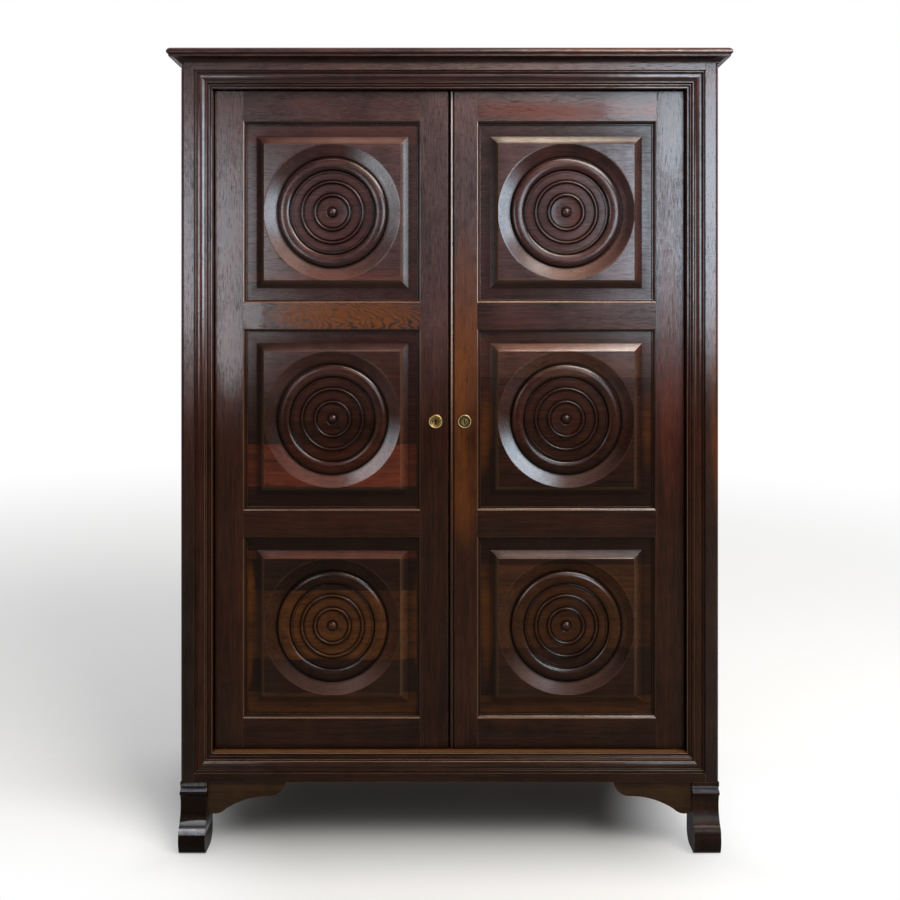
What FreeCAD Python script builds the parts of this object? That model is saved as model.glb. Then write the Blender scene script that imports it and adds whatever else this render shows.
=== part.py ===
"""A two-door linen press in oak: frame-and-panel doors with turned roundels, on scroll feet.

Millimetres. The origin is on the floor, in the middle of the footprint; +Z is up and the front looks to -Y.
Depths are counted backwards from the face of the front frame.
"""
import FreeCAD, Part
import Sketcher
import os

V = FreeCAD.Vector

# Driving dimensions: name, millimetres, what it is.
DRIVING_SIZES = [
    ("press_width", 1220, "carcass across the front posts"),
    ("press_height", 1815, "floor to the top of the cornice"),
    ("carcass_depth", 520, "frame face to the back"),
    ("carcass_lift", 156.5, "floor to the underside of the carcass"),
    ("post_width", 67, "front post across the front"),
    ("post_depth", 70, "front post front to back"),
    ("post_arris_radius", 9, "rounding of the outer front corner"),
    ("rear_post_side", 60, "rear post, square"),
    ("top_rail_height", 67, "frieze rail above the doors"),
    ("sill_height", 56.5, "rail below the doors"),
    ("face_rail_depth", 90, "front rails front to back"),
    ("moulding_width", 36.5, "opening moulding, outer to inner edge"),
    ("moulding_back", 24, "back of the opening moulding behind the frame face"),
    ("moulding_edge_depth", 4.5, "outer edge of the moulding behind the frame face"),
    ("moulding_bead_start", 3.5, "outer edge to the small bead"),
    ("moulding_bead_width", 3.4, "small bead"),
    ("moulding_bead_depth", 3, "crest of the small bead"),
    ("moulding_bead_radius", 1.8, "small bead"),
    ("moulding_quirk_depth", 7, "floor of the quirk beside the small bead"),
    ("moulding_quirk_splay", 0.5, "slope of the quirk's side"),
    ("moulding_swell_start", 9, "outer edge to the swelling"),
    ("moulding_swell_end", 22.5, "outer edge to the end of the swelling"),
    ("moulding_swell_depth", 10.5, "end of the swelling"),
    ("moulding_swell_radius", 24, "swelling"),
    ("moulding_fillet_depth", 13, "fillet inside the swelling"),
    ("moulding_fillet_width", 3, "fillet inside the swelling"),
    ("moulding_hollow_depth", 17, "foot of the hollow"),
    ("moulding_hollow_width", 2.5, "hollow inside the fillet"),
    ("moulding_hollow_radius", 5, "hollow inside the fillet"),
    ("moulding_inner_bead_depth", 15.6, "crest of the inner bead"),
    ("moulding_inner_bead_width", 4.4, "inner bead"),
    ("moulding_inner_bead_foot", 17.5, "inner foot of the inner bead"),
    ("moulding_inner_bead_radius", 2.4, "inner bead"),
    ("moulding_lip_depth", 19.5, "lip at the opening"),
    ("moulding_lip_width", 3.5, "lip at the opening"),
    ("cornice_overhang", 25, "cornice beyond the carcass"),
    ("top_board_thickness", 15, "nosed top board"),
    ("nose_round", 9, "rounding of the nose, inwards from its front"),
    ("nose_height", 4.5, "front of the nose above the underside"),
    ("nose_radius", 12, "upper rounding of the nose"),
    ("nose_undercut", 3, "lower rounding of the nose, inwards from its front"),
    ("nose_under_radius", 4.2, "lower rounding of the nose"),
    ("cornice_strip_height", 15, "fillet and cove below the top board"),
    ("cornice_setback", 4, "strip behind the front of the nose"),
    ("cornice_fillet", 5, "height of the flat above the cove"),
    ("cornice_quirk", 2.5, "step from the flat to the cove"),
    ("cornice_foot", 2.5, "foot of the cove in front of the carcass"),
    ("cornice_foot_height", 1.5, "foot of the cove"),
    ("cornice_cove_radius", 20, "cove"),
    ("door_recess", 40, "door face behind the frame face"),
    ("door_thickness", 28, "door stiles and rails"),
    ("hinge_gap", 2.2, "door to post"),
    ("head_gap", 2.5, "door to rail, above and below"),
    ("meeting_gap", 3, "between the doors"),
    ("meeting_shift", 2, "meeting line left of the middle"),
    ("stile_width", 64, "door stiles"),
    ("end_rail_height", 68, "top and bottom rails of a door"),
    ("mid_rail_height", 60.5, "middle rails of a door"),
    ("tenon_length", 42, "tenon of a door rail"),
    ("tenon_shoulder", 12, "rail edge to tenon edge"),
    ("tenon_clearance", 0.2, "round a tenon, each side"),
    ("mortise_spare", 1, "mortise deeper than its tenon"),
    ("groove_depth", 9, "panel groove"),
    ("panel_thickness", 8, "panel at its flat border"),
    ("panel_play", 1, "panel edge to the floor of its groove"),
    ("panel_clearance", 0.1, "panel face to the wall of its groove"),
    ("sticking_width", 7.7, "moulding round a panel"),
    ("sticking_height", 13, "door face to the panel border"),
    ("sticking_edge_depth", 1, "outer edge of that moulding behind the door face"),
    ("sticking_fillet", 1.6, "its fillet, across and down"),
    ("sticking_foot_depth", 8.6, "foot of its quarter round"),
    ("sticking_foot_width", 1.5, "flat inside its quarter round"),
    ("sticking_radius", 6.5, "its quarter round"),
    ("border_beside", 28.6, "flat border of a panel beside its bevel"),
    ("border_above", 33.6, "flat border of a panel above and below its bevel"),
    ("field_raise", 7, "field above the border"),
    ("bevel_width", 18.5, "bevel round the field"),
    ("dish_overrun", 1, "rim of the dish beyond the sides of the field"),
    ("dish_depth", 8, "dish at the foot of the large ring"),
    ("pattern_radius", 158.5, "dish on the turner's pattern, which is scaled to fit the field"),
    ("ring_radius", 127.5, "foot of the large ring on the pattern"),
    ("ring_width", 28.5, "large ring"),
    ("ring_flank", 8.5, "sloping sides of the large ring"),
    ("crown_depth", 0.4, "crown of the large ring below the field"),
    ("plate_depth", 5, "flat between the rings, below the field"),
    ("bowl_depth", 1.5, "bowl round the boss, below that flat"),
    ("bead_width", 6, "both small rings"),
    ("outer_bead_radius", 70.4, "middle of the outer small ring on the pattern"),
    ("inner_bead_radius", 40.2, "middle of the inner small ring on the pattern"),
    ("boss_radius", 11, "centre boss at its foot"),
    ("boss_crown_radius", 5.5, "centre boss at its top"),
    ("meeting_bead", 10, "bead on the right door's meeting edge"),
    ("meeting_quirk", 2, "groove beside the bead"),
    ("side_board_thickness", 28, "side rails"),
    ("side_rail_height", 68, "side rails"),
    ("back_board_thickness", 12, "back boards"),
    ("back_board_count", 8, "back boards side by side"),
    ("back_board_gap", 0.4, "between two back boards"),
    ("back_rebate_width", 20, "rear post rebate for the boards"),
    ("rear_rail_height", 60, "rear top rail"),
    ("rear_rail_thickness", 26, "rear rails"),
    ("bottom_board_thickness", 18, "floor of the cupboard"),
    ("shelf_thickness", 20, "shelves"),
    ("shelf_count", 4, "shelves"),
    ("shelf_setback", 100, "frame face to a shelf's front edge"),
    ("shelf_clearance", 1, "shelf to the posts and sides"),
    ("cleat_side", 20, "cleats under the shelves, square"),
    ("foot_width", 60, "front feet across"),
    ("foot_toe_reach", 17, "toe in front of the frame face"),
    ("foot_heel_reach", 53, "heel behind the frame face"),
    ("foot_cap_reach", 1, "cap in front of the frame face"),
    ("foot_cap_height", 9, "cap below the carcass"),
    ("foot_quirk_depth", 5, "quirk below the cap"),
    ("foot_quirk_splay", 2, "slope into and out of the quirk"),
    ("foot_quirk_height", 5, "quirk below the cap"),
    ("foot_quirk_radius", 3.4, "quirk below the cap"),
    ("foot_bead_reach", 3, "bead in front of the frame face"),
    ("foot_bead_height", 8, "bead below the quirk"),
    ("foot_bead_radius", 4.4, "bead below the quirk"),
    ("foot_bead_splay", 3, "slope below the bead, down and back"),
    ("foot_knee_height", 63, "foot of the long hollow above the floor"),
    ("foot_knee_setback", 8, "foot of the long hollow behind the toe"),
    ("foot_hollow_radius", 72, "long hollow"),
    ("foot_toe_height", 43, "front of the toe above the floor"),
    ("foot_toe_radius", 26, "top of the toe"),
    ("foot_roll_height", 12, "start of the roll under the toe"),
    ("foot_roll_setback", 2, "start of that roll behind the toe"),
    ("foot_front_radius", 60, "front of the toe"),
    ("foot_sole_setback", 11, "sole behind the toe"),
    ("foot_roll_radius", 13, "roll under the toe"),
    ("foot_heel_round", 24, "rounding of the heel, up and forward"),
    ("foot_heel_radius", 27, "rounding of the heel"),
    ("bracket_length", 178, "bracket beside a foot"),
    ("bracket_drop", 70, "bracket at the foot"),
    ("bracket_lobe_length", 41, "lobe against the foot"),
    ("bracket_lobe_rise", 6, "lobe against the foot"),
    ("bracket_lobe_radius", 34, "lobe against the foot"),
    ("bracket_tip_height", 34.5, "quarter round at the tip"),
    ("bracket_tip_length", 36.5, "quarter round at the tip"),
    ("bracket_tip_radius", 36, "quarter round at the tip"),
    ("bracket_hollow_radius", 180, "long hollow between them"),
    ("bracket_thickness", 20, "brackets"),
    ("bracket_setback", 6, "bracket face behind the frame face"),
    ("pivot_inset", 20, "pivot axis from the door's hinge edge"),
    ("pivot_depth", 7, "pivot axis behind the door face"),
    ("pivot_pin_radius", 3.5, "pivot pin"),
    ("pivot_clearance", 0.05, "pin in its socket, on the radius"),
    ("pivot_pin_length", 9.5, "pin beyond its plate"),
    ("pivot_plate_thickness", 2.5, "pivot plates let into the rails"),
    ("socket_thickness", 8, "pivot sockets let into the doors"),
    ("pivot_plate_length", 44, "pivot plates and sockets"),
    ("pivot_plate_width", 12, "pivot plates and sockets"),
    ("pivot_collar", 2.4, "collar that carries the door"),
    ("collar_radius", 6, "collar that carries the door"),
    ("keyhole_disc_depth", 5, "left keyhole disc in the stile"),
    ("lock_height", 969, "centre of the key holes above the floor"),
    ("left_lock_inset", 29, "left key hole from its door's meeting edge"),
    ("right_lock_inset", 35, "right key hole from its door's meeting edge"),
    ("rosette_radius", 16, "escutcheon"),
    ("rosette_bore", 9.5, "hole in the escutcheon, its radius"),
    ("rosette_thickness", 3, "escutcheon"),
    ("keyhole_disc_proud", 1.5, "left keyhole disc in front of the stile"),
    ("key_pin_radius", 2.3, "round of the key hole"),
    ("key_pin_rise", 2, "round above the slot, half its height"),
    ("key_shoulder", 1, "round beyond the slot, each side"),
    ("key_slot_half", 0.9, "half the width of the key slots"),
    ("key_slot_length", 6, "key slot from the middle"),
    ("key_wall", 1, "disc behind the key hole"),
    ("plug_radius", 9, "lock plug"),
    ("plug_proud", 2.1, "lock plug in front of the stile"),
    ("plug_slot_depth", 8, "key slot in the plug"),
    ("plug_clearance", 0.1, "plug in its escutcheon and case"),
    ("crank_radius", 10, "crank pin from the plug axis"),
    ("crank_pin_radius", 1.5, "crank pin"),
    ("crank_pin_spare", 0.5, "crank pin beyond the back of the bolt"),
    ("crank_arm_half", 5, "half the width of the arm that carries the crank pin"),
    ("crank_arm_spare", 3.5, "arm beyond the crank pin"),
    ("crank_arm_thickness", 3, "arm that carries the crank pin"),
    ("case_width", 58, "lock case across"),
    ("case_height", 44, "lock case"),
    ("case_depth", 15, "lock case"),
    ("case_setback", 1, "lock case and keeper from the meeting edges"),
    ("case_wall", 2.5, "lock case"),
    ("lock_bolt_height", 22, "sliding bolt"),
    ("lock_bolt_rise", 3, "middle of the bolt above the plug axis"),
    ("lock_bolt_front", 4, "bolt behind the back of the door"),
    ("crank_slot_play", 0.5, "crank pin in the slot of the bolt, each side"),
    ("lock_bolt_thickness", 6, "sliding bolt"),
    ("lock_bolt_clearance", 0.3, "bolt in its case"),
    ("lock_bolt_tail", 4, "bolt beyond the slot for the crank pin"),
    ("keeper_length", 16, "keeper on the left door"),
    ("keeper_wall", 2.5, "keeper"),
    ("keeper_flange", 9, "screw flanges of the keeper"),
    ("keeper_clearance", 0.6, "bolt in its keeper"),
    ("barrel_length", 90, "barrel bolt case"),
    ("barrel_setback", 11, "barrel bolt case from the edge of the door"),
    ("barrel_width", 20, "barrel bolt plate"),
    ("barrel_plate", 2, "barrel bolt plate"),
    ("rod_radius", 4, "barrel bolt rod"),
    ("rod_clearance", 0.2, "rod in its case and in the rail"),
    ("rod_length", 130, "barrel bolt rod"),
    ("rod_throw", 14, "travel of a barrel bolt"),
    ("rod_withdrawn", 1, "rod end inside the door's edge at rest"),
    ("rod_hole_spare", 2, "hole in a rail beyond the thrown rod"),
    ("barrel_wall", 2, "barrel round the rod"),
    ("knob_radius", 3.2, "knob of a barrel bolt"),
    ("knob_length", 11, "knob beyond the rod"),
    ("knob_clearance", 0.5, "knob in the slot of its barrel"),
    ("barrel_inset", 34, "barrel bolt from the meeting edge"),
    ("stop_length", 150, "door stops"),
    ("stop_height", 14, "door stops"),
    ("stop_depth", 18, "door stops"),
    ("stop_clearance", 0.4, "door to its stops"),
    ("left_stop_inset", 68, "left stops from their door's meeting edge"),
    ("right_stop_inset", 17, "right stops from their door's meeting edge"),
    ("cut_spare", 5, "how far a cut runs past the wood"),
]

doc = FreeCAD.newDocument("linen_press")


# --- sizes: a number together with the expression that gives it ----------------------------------------

class Size:
    """A length as its number and as the text of the expression that gives it."""

    def __init__(self, number, text):
        self.number = float(number)
        self.text = text

    @staticmethod
    def of(value):
        return value if isinstance(value, Size) else Size(value, "%.9g" % value)

    def join(self, sign, other, number):
        return Size(number, "(%s %s %s)" % (self.text, sign, Size.of(other).text))

    def __add__(self, other):
        return self.join("+", other, self.number + float(other))

    def __sub__(self, other):
        return self.join("-", other, self.number - float(other))

    def __mul__(self, other):
        return self.join("*", other, self.number * float(other))

    def __truediv__(self, other):
        return self.join("/", other, self.number / float(other))

    def __radd__(self, other):
        return Size.of(other) + self

    def __rsub__(self, other):
        return Size.of(other) - self

    def __rmul__(self, other):
        return Size.of(other) * self

    def __neg__(self):
        return Size.of(0) - self

    def __float__(self):
        return self.number


def smaller(first, second):
    """The smaller of two lengths."""
    return Size(min(float(first), float(second)), "min(%s; %s)" % (first.text, second.text))


sheet = doc.addObject("Spreadsheet::Sheet", "sizes")
for row, (name, millimetres, meaning) in enumerate(DRIVING_SIZES, start=1):
    sheet.set("A%d" % row, meaning)
    sheet.set("B%d" % row, str(millimetres))
    sheet.setAlias("B%d" % row, name)
doc.recompute()
places = doc.addObject("App::VarSet", "places")


class Sheet:
    """Reads a driving dimension as a Size by its alias."""

    def __getattr__(self, alias):
        return Size(sheet.get(alias), "sizes." + alias)


size = Sheet()


def place(name, value):
    """Keeps a worked-out length under its own name, so that later expressions stay short."""
    places.addProperty("App::PropertyFloat", name, "Places", "")
    places.setExpression(name, value.text)
    return Size(value.number, "places." + name)


# --- lengths worked out from the driving ones ----------------------------------------------------------

front = place("front", (size.cornice_overhang - size.carcass_depth) / 2)
back = place("back", front + size.carcass_depth)
half_width = place("half_width", size.press_width / 2)
half_opening = place("half_opening", half_width - size.post_width)
carcass_top = place("carcass_top", size.press_height - size.top_board_thickness)
opening_low = place("opening_low", size.carcass_lift + size.sill_height)
opening_high = place("opening_high", carcass_top - size.top_rail_height)
half_face = place("half_face", half_opening + size.moulding_width)
face_low = place("face_low", opening_low - size.moulding_width)
face_high = place("face_high", opening_high + size.moulding_width)
post_back = place("post_back", front + size.post_depth)
rear_post_front = place("rear_post_front", back - size.rear_post_side)
board_front = place("board_front", back - size.back_board_thickness)
side_inner = place("side_inner", half_width - size.side_board_thickness)

door_low = place("door_low", opening_low + size.head_gap)
door_high = place("door_high", opening_high - size.head_gap)
door_height = place("door_height", door_high - door_low)
door_face = place("door_face", front + size.door_recess)
door_back = place("door_back", door_face + size.door_thickness)
hinge_edge = place("hinge_edge", half_opening - size.hinge_gap)
left_meeting = place("left_meeting", -size.meeting_shift - size.meeting_gap / 2)
right_meeting = place("right_meeting", -size.meeting_shift + size.meeting_gap / 2)
panel_opening_height = place(
    "panel_opening_height",
    (door_height - 2 * size.end_rail_height - 2 * size.mid_rail_height) / 3)
lock_axis_left = place("lock_axis_left", left_meeting - size.left_lock_inset)
lock_axis_right = place("lock_axis_right", right_meeting + size.right_lock_inset)

nodes = {}


def keep(name, thing):
    """Names a finished sub-part, which gives its file its name."""
    thing.Label = name
    nodes[name] = thing
    return thing


def bind(thing, prop, value):
    thing.setExpression(prop, Size.of(value).text)


def move(thing, x, y, z, turn=None):
    """Places a sub-part; turn is an axis and an angle in degrees."""
    if turn:
        thing.Placement = FreeCAD.Placement(V(0, 0, 0), FreeCAD.Rotation(V(*turn[0]), turn[1]))
    for axis, value in zip("xyz", (x, y, z)):
        bind(thing, "Placement.Base." + axis, value)
    return thing


def board(name, low, high):
    """A plain board between two opposite corners."""
    box = doc.addObject("Part::Box", name)
    for axis, prop, start, end in zip("xyz", ("Length", "Width", "Height"), low, high):
        bind(box, prop, end - start)
        bind(box, "Placement.Base." + axis, start)
    return box


def group(name, members):
    """Several equal pieces kept as one node of separate solids."""
    compound = doc.addObject("Part::Compound", name)
    compound.Links = members
    return keep(name, compound)


# --- sketches ------------------------------------------------------------------------------------------

def sketch_on(body, role, offset=None):
    """An empty sketch on one of the body's own origin planes, moved along the plane's normal by offset."""
    plane = [item for item in body.Origin.OriginFeatures if item.Role == role][0]
    sketch = body.newObject("Sketcher::SketchObject", body.Name + "_sketch")
    sketch.AttachmentSupport = [(plane, "")]
    sketch.MapMode = "FlatFace"
    if offset is not None:
        bind(sketch, "AttachmentOffset.Base.z", offset)
    return sketch


def curve_between(start, end, radius):
    """A straight edge, or an arc whose centre lies left of the way, or right of it for a negative radius."""
    if not radius:
        return Part.LineSegment(start, end)
    chord = end - start
    half = chord.Length / 2
    reach = abs(radius)
    middle = (start + end) * 0.5
    left = V(-chord.y, chord.x, 0).normalize()
    sign = 1 if radius > 0 else -1
    centre = middle + left * (sign * (reach * reach - half * half) ** 0.5)
    crown = centre - left * (sign * reach)
    return Part.Arc(start, crown, end) if radius > 0 else Part.Arc(end, crown, start)


def draw(sketch, points):
    """A closed outline. A point is (x, y), or (x, y, radius) where the edge that leads to it is an arc."""
    corners = [V(float(point[0]), float(point[1]), 0) for point in points]
    ends = []
    for number, point in enumerate(points):
        radius = float(point[2]) if len(point) > 2 else 0.0
        edge = sketch.addGeometry(curve_between(corners[number - 1], corners[number], radius), False)
        ends.append((edge, 2, 1) if radius < 0 else (edge, 1, 2))
        if radius:
            rule = sketch.addConstraint(Sketcher.Constraint("Radius", edge, abs(radius)))
            bind(sketch, "Constraints[%d]" % rule, Size.of(point[2]) if radius > 0 else -Size.of(point[2]))
    for number, point in enumerate(points):
        edge, _, end = ends[number]
        following, start, _ = ends[(number + 1) % len(points)]
        sketch.addConstraint(Sketcher.Constraint("Coincident", edge, end, following, start))
        for kind, value in (("DistanceX", point[0]), ("DistanceY", point[1])):
            rule = sketch.addConstraint(Sketcher.Constraint(kind, -1, 1, edge, end, float(value)))
            bind(sketch, "Constraints[%d]" % rule, value)
    return sketch


def circle(sketch, x, y, radius):
    edge = sketch.addGeometry(Part.Circle(V(float(x), float(y), 0), V(0, 0, 1), float(radius)), False)
    for kind, value in (("DistanceX", x), ("DistanceY", y)):
        rule = sketch.addConstraint(Sketcher.Constraint(kind, -1, 1, edge, 3, float(value)))
        bind(sketch, "Constraints[%d]" % rule, value)
    rule = sketch.addConstraint(Sketcher.Constraint("Radius", edge, float(radius)))
    bind(sketch, "Constraints[%d]" % rule, radius)
    return sketch


def rectangle(x0, y0, x1, y1):
    return [(x0, y0), (x1, y0), (x1, y1), (x0, y1)]


def new_body(name):
    return doc.addObject("PartDesign::Body", name)


def pad(body, sketch, length, backwards=False, both_ways=False):
    feature = body.newObject("PartDesign::Pad", body.Name + "_pad")
    feature.Profile = sketch
    feature.Midplane = both_ways
    feature.Reversed = backwards
    bind(feature, "Length", length)
    return feature


def pocket(body, sketch, length, backwards=False, both_ways=False):
    feature = body.newObject("PartDesign::Pocket", body.Name + "_pocket")
    feature.Profile = sketch
    feature.Midplane = both_ways
    feature.Reversed = backwards
    bind(feature, "Length", length)
    return feature


def revolve(body, sketch, kind, axis="V_Axis"):
    """A full turn of a sketch round one of its own axes: kind is Revolution or Groove."""
    feature = body.newObject("PartDesign::" + kind, body.Name + "_turning")
    feature.Profile = sketch
    feature.ReferenceAxis = (sketch, [axis])
    feature.Angle = 360
    return feature


# --- carcass: posts, rails, sides, back ----------------------------------------------------------------

side_groove = place("side_groove", (size.side_board_thickness - size.panel_thickness) / 2)


def front_post(name, side):
    """Upright with a rounded arris, a rebate for the opening moulding and a groove for the side panels."""
    body = new_body(name)
    outline = draw(sketch_on(body, "XY_Plane"), [
        (side * size.post_arris_radius, front, side * size.post_arris_radius),
        (side * (size.post_width - size.moulding_width), front),
        (side * (size.post_width - size.moulding_width), front + size.moulding_back),
        (side * size.post_width, front + size.moulding_back),
        (side * size.post_width, post_back),
        (side * (side_groove + size.panel_thickness), post_back),
        (side * (side_groove + size.panel_thickness), post_back - size.groove_depth),
        (side * side_groove, post_back - size.groove_depth),
        (side * side_groove, post_back),
        (0, post_back),
        (0, front + size.post_arris_radius),
    ])
    pad(body, outline, carcass_top - size.carcass_lift)
    move(body, -side * half_width, 0, size.carcass_lift)
    return keep(name, body)


def rear_post(name, side):
    """Upright that is also the rear foot, with a rebate for the back boards and a groove for the panels."""
    body = new_body(name)
    outline = draw(sketch_on(body, "XY_Plane"), [
        (0, rear_post_front),
        (side * side_groove, rear_post_front),
        (side * side_groove, rear_post_front + size.groove_depth),
        (side * (side_groove + size.panel_thickness), rear_post_front + size.groove_depth),
        (side * (side_groove + size.panel_thickness), rear_post_front),
        (side * size.rear_post_side, rear_post_front),
        (side * size.rear_post_side, board_front),
        (side * (size.rear_post_side - size.back_rebate_width), board_front),
        (side * (size.rear_post_side - size.back_rebate_width), back),
        (0, back),
    ])
    pad(body, outline, carcass_top)
    move(body, -side * half_width, 0, 0)
    return keep(name, body)


rod_x = place("rod_x", left_meeting - size.barrel_inset)
rod_y = place("rod_y", door_back + size.barrel_plate + size.rod_clearance + size.rod_radius)
rod_hole = size.rod_radius + size.rod_clearance
pivot_y = place("pivot_y", door_face + size.pivot_depth)


def plate_outline(sketch, side):
    """A hinge plate lies along the edge of the rail or door and ends at the door's hinge edge."""
    return draw(sketch, rectangle(
        side * (hinge_edge - size.pivot_plate_length), pivot_y - size.pivot_plate_width / 2,
        side * hinge_edge, pivot_y + size.pivot_plate_width / 2))


def front_rail(name, low, high, face_from, face_to, over_doors):
    """Rail between the posts: its face laps their rebates, and hinge plates are let in beside the doors."""
    body = new_body(name)
    block = sketch_on(body, "YZ_Plane")
    draw(block, rectangle(front + size.moulding_back, low, front + size.face_rail_depth, high))
    pad(body, block, 2 * half_opening, both_ways=True)
    face = sketch_on(body, "YZ_Plane")
    draw(face, rectangle(front, face_from, front + size.moulding_back, face_to))
    pad(body, face, 2 * half_face, both_ways=True)
    for side in (-1, 1):
        seat = plate_outline(sketch_on(body, "XY_Plane", low if over_doors else high), side)
        pocket(body, seat, size.pivot_plate_thickness, backwards=over_doors)
    hole = circle(sketch_on(body, "XY_Plane", low if over_doors else high), rod_x, rod_y, rod_hole)
    pocket(body, hole, size.rod_throw + size.rod_hole_spare, backwards=over_doors)
    return keep(name, body)


def frame_rails(name, side, levels):
    """Side rails, tongued into the posts, with panel grooves along the edges that meet a panel."""
    rails = []
    outer = size.side_board_thickness
    near, far = side_groove, side_groove + size.panel_thickness
    for number, (low, high, groove_below, groove_above) in enumerate(levels, start=1):
        body = new_body("%s_%d" % (name, number))
        points = [(0, low)]
        if groove_below:
            points += [(side * near, low), (side * near, low + size.groove_depth),
                       (side * far, low + size.groove_depth), (side * far, low)]
        points += [(side * outer, low), (side * outer, high)]
        if groove_above:
            points += [(side * far, high), (side * far, high - size.groove_depth),
                       (side * near, high - size.groove_depth), (side * near, high)]
        points += [(0, high)]
        pad(body, draw(sketch_on(body, "XZ_Plane", -post_back), points),
            rear_post_front - post_back, backwards=True)
        tongue_low = low + size.groove_depth if groove_below else low
        tongue_high = high - size.groove_depth if groove_above else high
        tongue_reach = size.groove_depth - size.panel_play
        tongue = draw(sketch_on(body, "XZ_Plane", tongue_reach - post_back), rectangle(
            side * (near + size.panel_clearance), tongue_low,
            side * (far - size.panel_clearance), tongue_high))
        pad(body, tongue, rear_post_front - post_back + 2 * tongue_reach, backwards=True)
        rails.append(move(body, -side * half_width, 0, 0))
    return group(name, rails)


for side, hand in ((1, "left"), (-1, "right")):
    front_post("%s_front_post" % hand, side)
    rear_post("%s_rear_post" % hand, side)

front_rail("frieze_rail", opening_high, carcass_top, face_high, carcass_top, True)
front_rail("sill_rail", size.carcass_lift, opening_low, size.carcass_lift, face_low, False)

side_panel_height = place(
    "side_panel_height", (carcass_top - size.carcass_lift - 4 * size.side_rail_height) / 3)
side_step = side_panel_height + size.side_rail_height
rail_levels = [
    (size.carcass_lift + step * side_step, size.carcass_lift + size.side_rail_height + step * side_step,
     step > 0, step < 3) for step in range(4)]
tongue = size.groove_depth - size.panel_play
for side, hand in ((1, "left"), (-1, "right")):
    frame_rails("%s_side_rails" % hand, side, rail_levels)
    panels = []
    for step in range(3):
        near = side_groove + size.panel_clearance
        far = side_groove + size.panel_thickness - size.panel_clearance
        low = rail_levels[step][1] - tongue
        corners = (-side * (half_width - near), -side * (half_width - far))
        panels.append(board(
            "%s_side_panel_%d" % (hand, step + 1),
            (corners[0] if side > 0 else corners[1], post_back - tongue, low),
            (corners[1] if side > 0 else corners[0], rear_post_front + tongue,
             low + side_panel_height + 2 * tongue)))
    group("%s_side_panels" % hand, panels)

rear_inner = half_width - size.rear_post_side
rail_front = board_front - size.rear_rail_thickness
bottom_low = place("bottom_low", opening_low - size.bottom_board_thickness)
group("rear_rails", [
    board("rear_top_rail", (-rear_inner, rail_front, carcass_top - size.rear_rail_height),
          (rear_inner, board_front, carcass_top)),
    board("rear_bottom_rail", (-rear_inner, rail_front, size.carcass_lift),
          (rear_inner, board_front, bottom_low))])

boards_half = half_width - size.rear_post_side + size.back_rebate_width
count = int(float(size.back_board_count))
pitch = place("back_pitch", 2 * boards_half / count)
group("back_boards", [
    board("back_board_%d" % (number + 1),
          (-boards_half + number * pitch + size.back_board_gap / 2, board_front, size.carcass_lift),
          (-boards_half + (number + 1) * pitch - size.back_board_gap / 2, back, carcass_top))
    for number in range(count)])


# --- floor, shelves and what carries them --------------------------------------------------------------

def shelf_body(name, thickness, start, end):
    """A board across the press with its rear corners notched round the posts."""
    body = new_body(name)
    wide = side_inner - size.shelf_clearance
    narrow = half_width - size.rear_post_side - size.shelf_clearance
    notch = rear_post_front - size.shelf_clearance
    pad(body, draw(sketch_on(body, "XY_Plane"), [
        (-wide, start), (wide, start), (wide, notch), (narrow, notch),
        (narrow, end), (-narrow, end), (-narrow, notch), (-wide, notch)]), thickness)
    return body


def cleat_pair(name, top):
    """Battens between the posts, one at each side, that carry a board."""
    low = top - size.cleat_side
    return [board(name + "_left", (-side_inner, post_back, low),
                  (-side_inner + size.cleat_side, rear_post_front, top)),
            board(name + "_right", (side_inner - size.cleat_side, post_back, low),
                  (side_inner, rear_post_front, top))]


keep("floor_board", move(
    shelf_body("floor_board", size.bottom_board_thickness, front + size.face_rail_depth, board_front),
    0, 0, bottom_low))

shelf_total = int(float(size.shelf_count))
clear_height = place(
    "clear_height",
    (opening_high - opening_low - size.shelf_thickness * shelf_total) / (shelf_total + 1))
cleats = cleat_pair("floor_cleat", bottom_low)
shelves = []
for number in range(1, shelf_total + 1):
    name = "shelf_%d" % number
    level = place(name + "_level", opening_low + number * clear_height + (number - 1) * size.shelf_thickness)
    shelf = shelf_body(name, size.shelf_thickness, front + size.shelf_setback, board_front)
    shelves.append(move(shelf, 0, 0, level))
    cleats += cleat_pair(name + "_cleat", level)
group("shelves", shelves)
group("shelf_cleats", cleats)


# --- mouldings -----------------------------------------------------------------------------------------

def mitred_strip(name, profile, length, width, thickness, turn, x, y, z):
    """A moulding strip mitred inwards at both ends.

    The profile's points are (depth, distance inwards); the strip runs along X before it is turned round Y.
    """
    body = new_body(name)
    pad(body, draw(sketch_on(body, "YZ_Plane"), profile), length, both_ways=True)
    mitres = sketch_on(body, "XZ_Plane")
    spare = size.cut_spare
    for side in (-1, 1):
        draw(mitres, [(side * (length / 2 + spare), -spare), (side * (length / 2 + spare), width + spare),
                      (side * (length / 2 - width - spare), width + spare)])
    pocket(body, mitres, 2 * (thickness + spare), both_ways=True)
    return move(body, x, y, z, ((0, 1, 0), turn))


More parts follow.
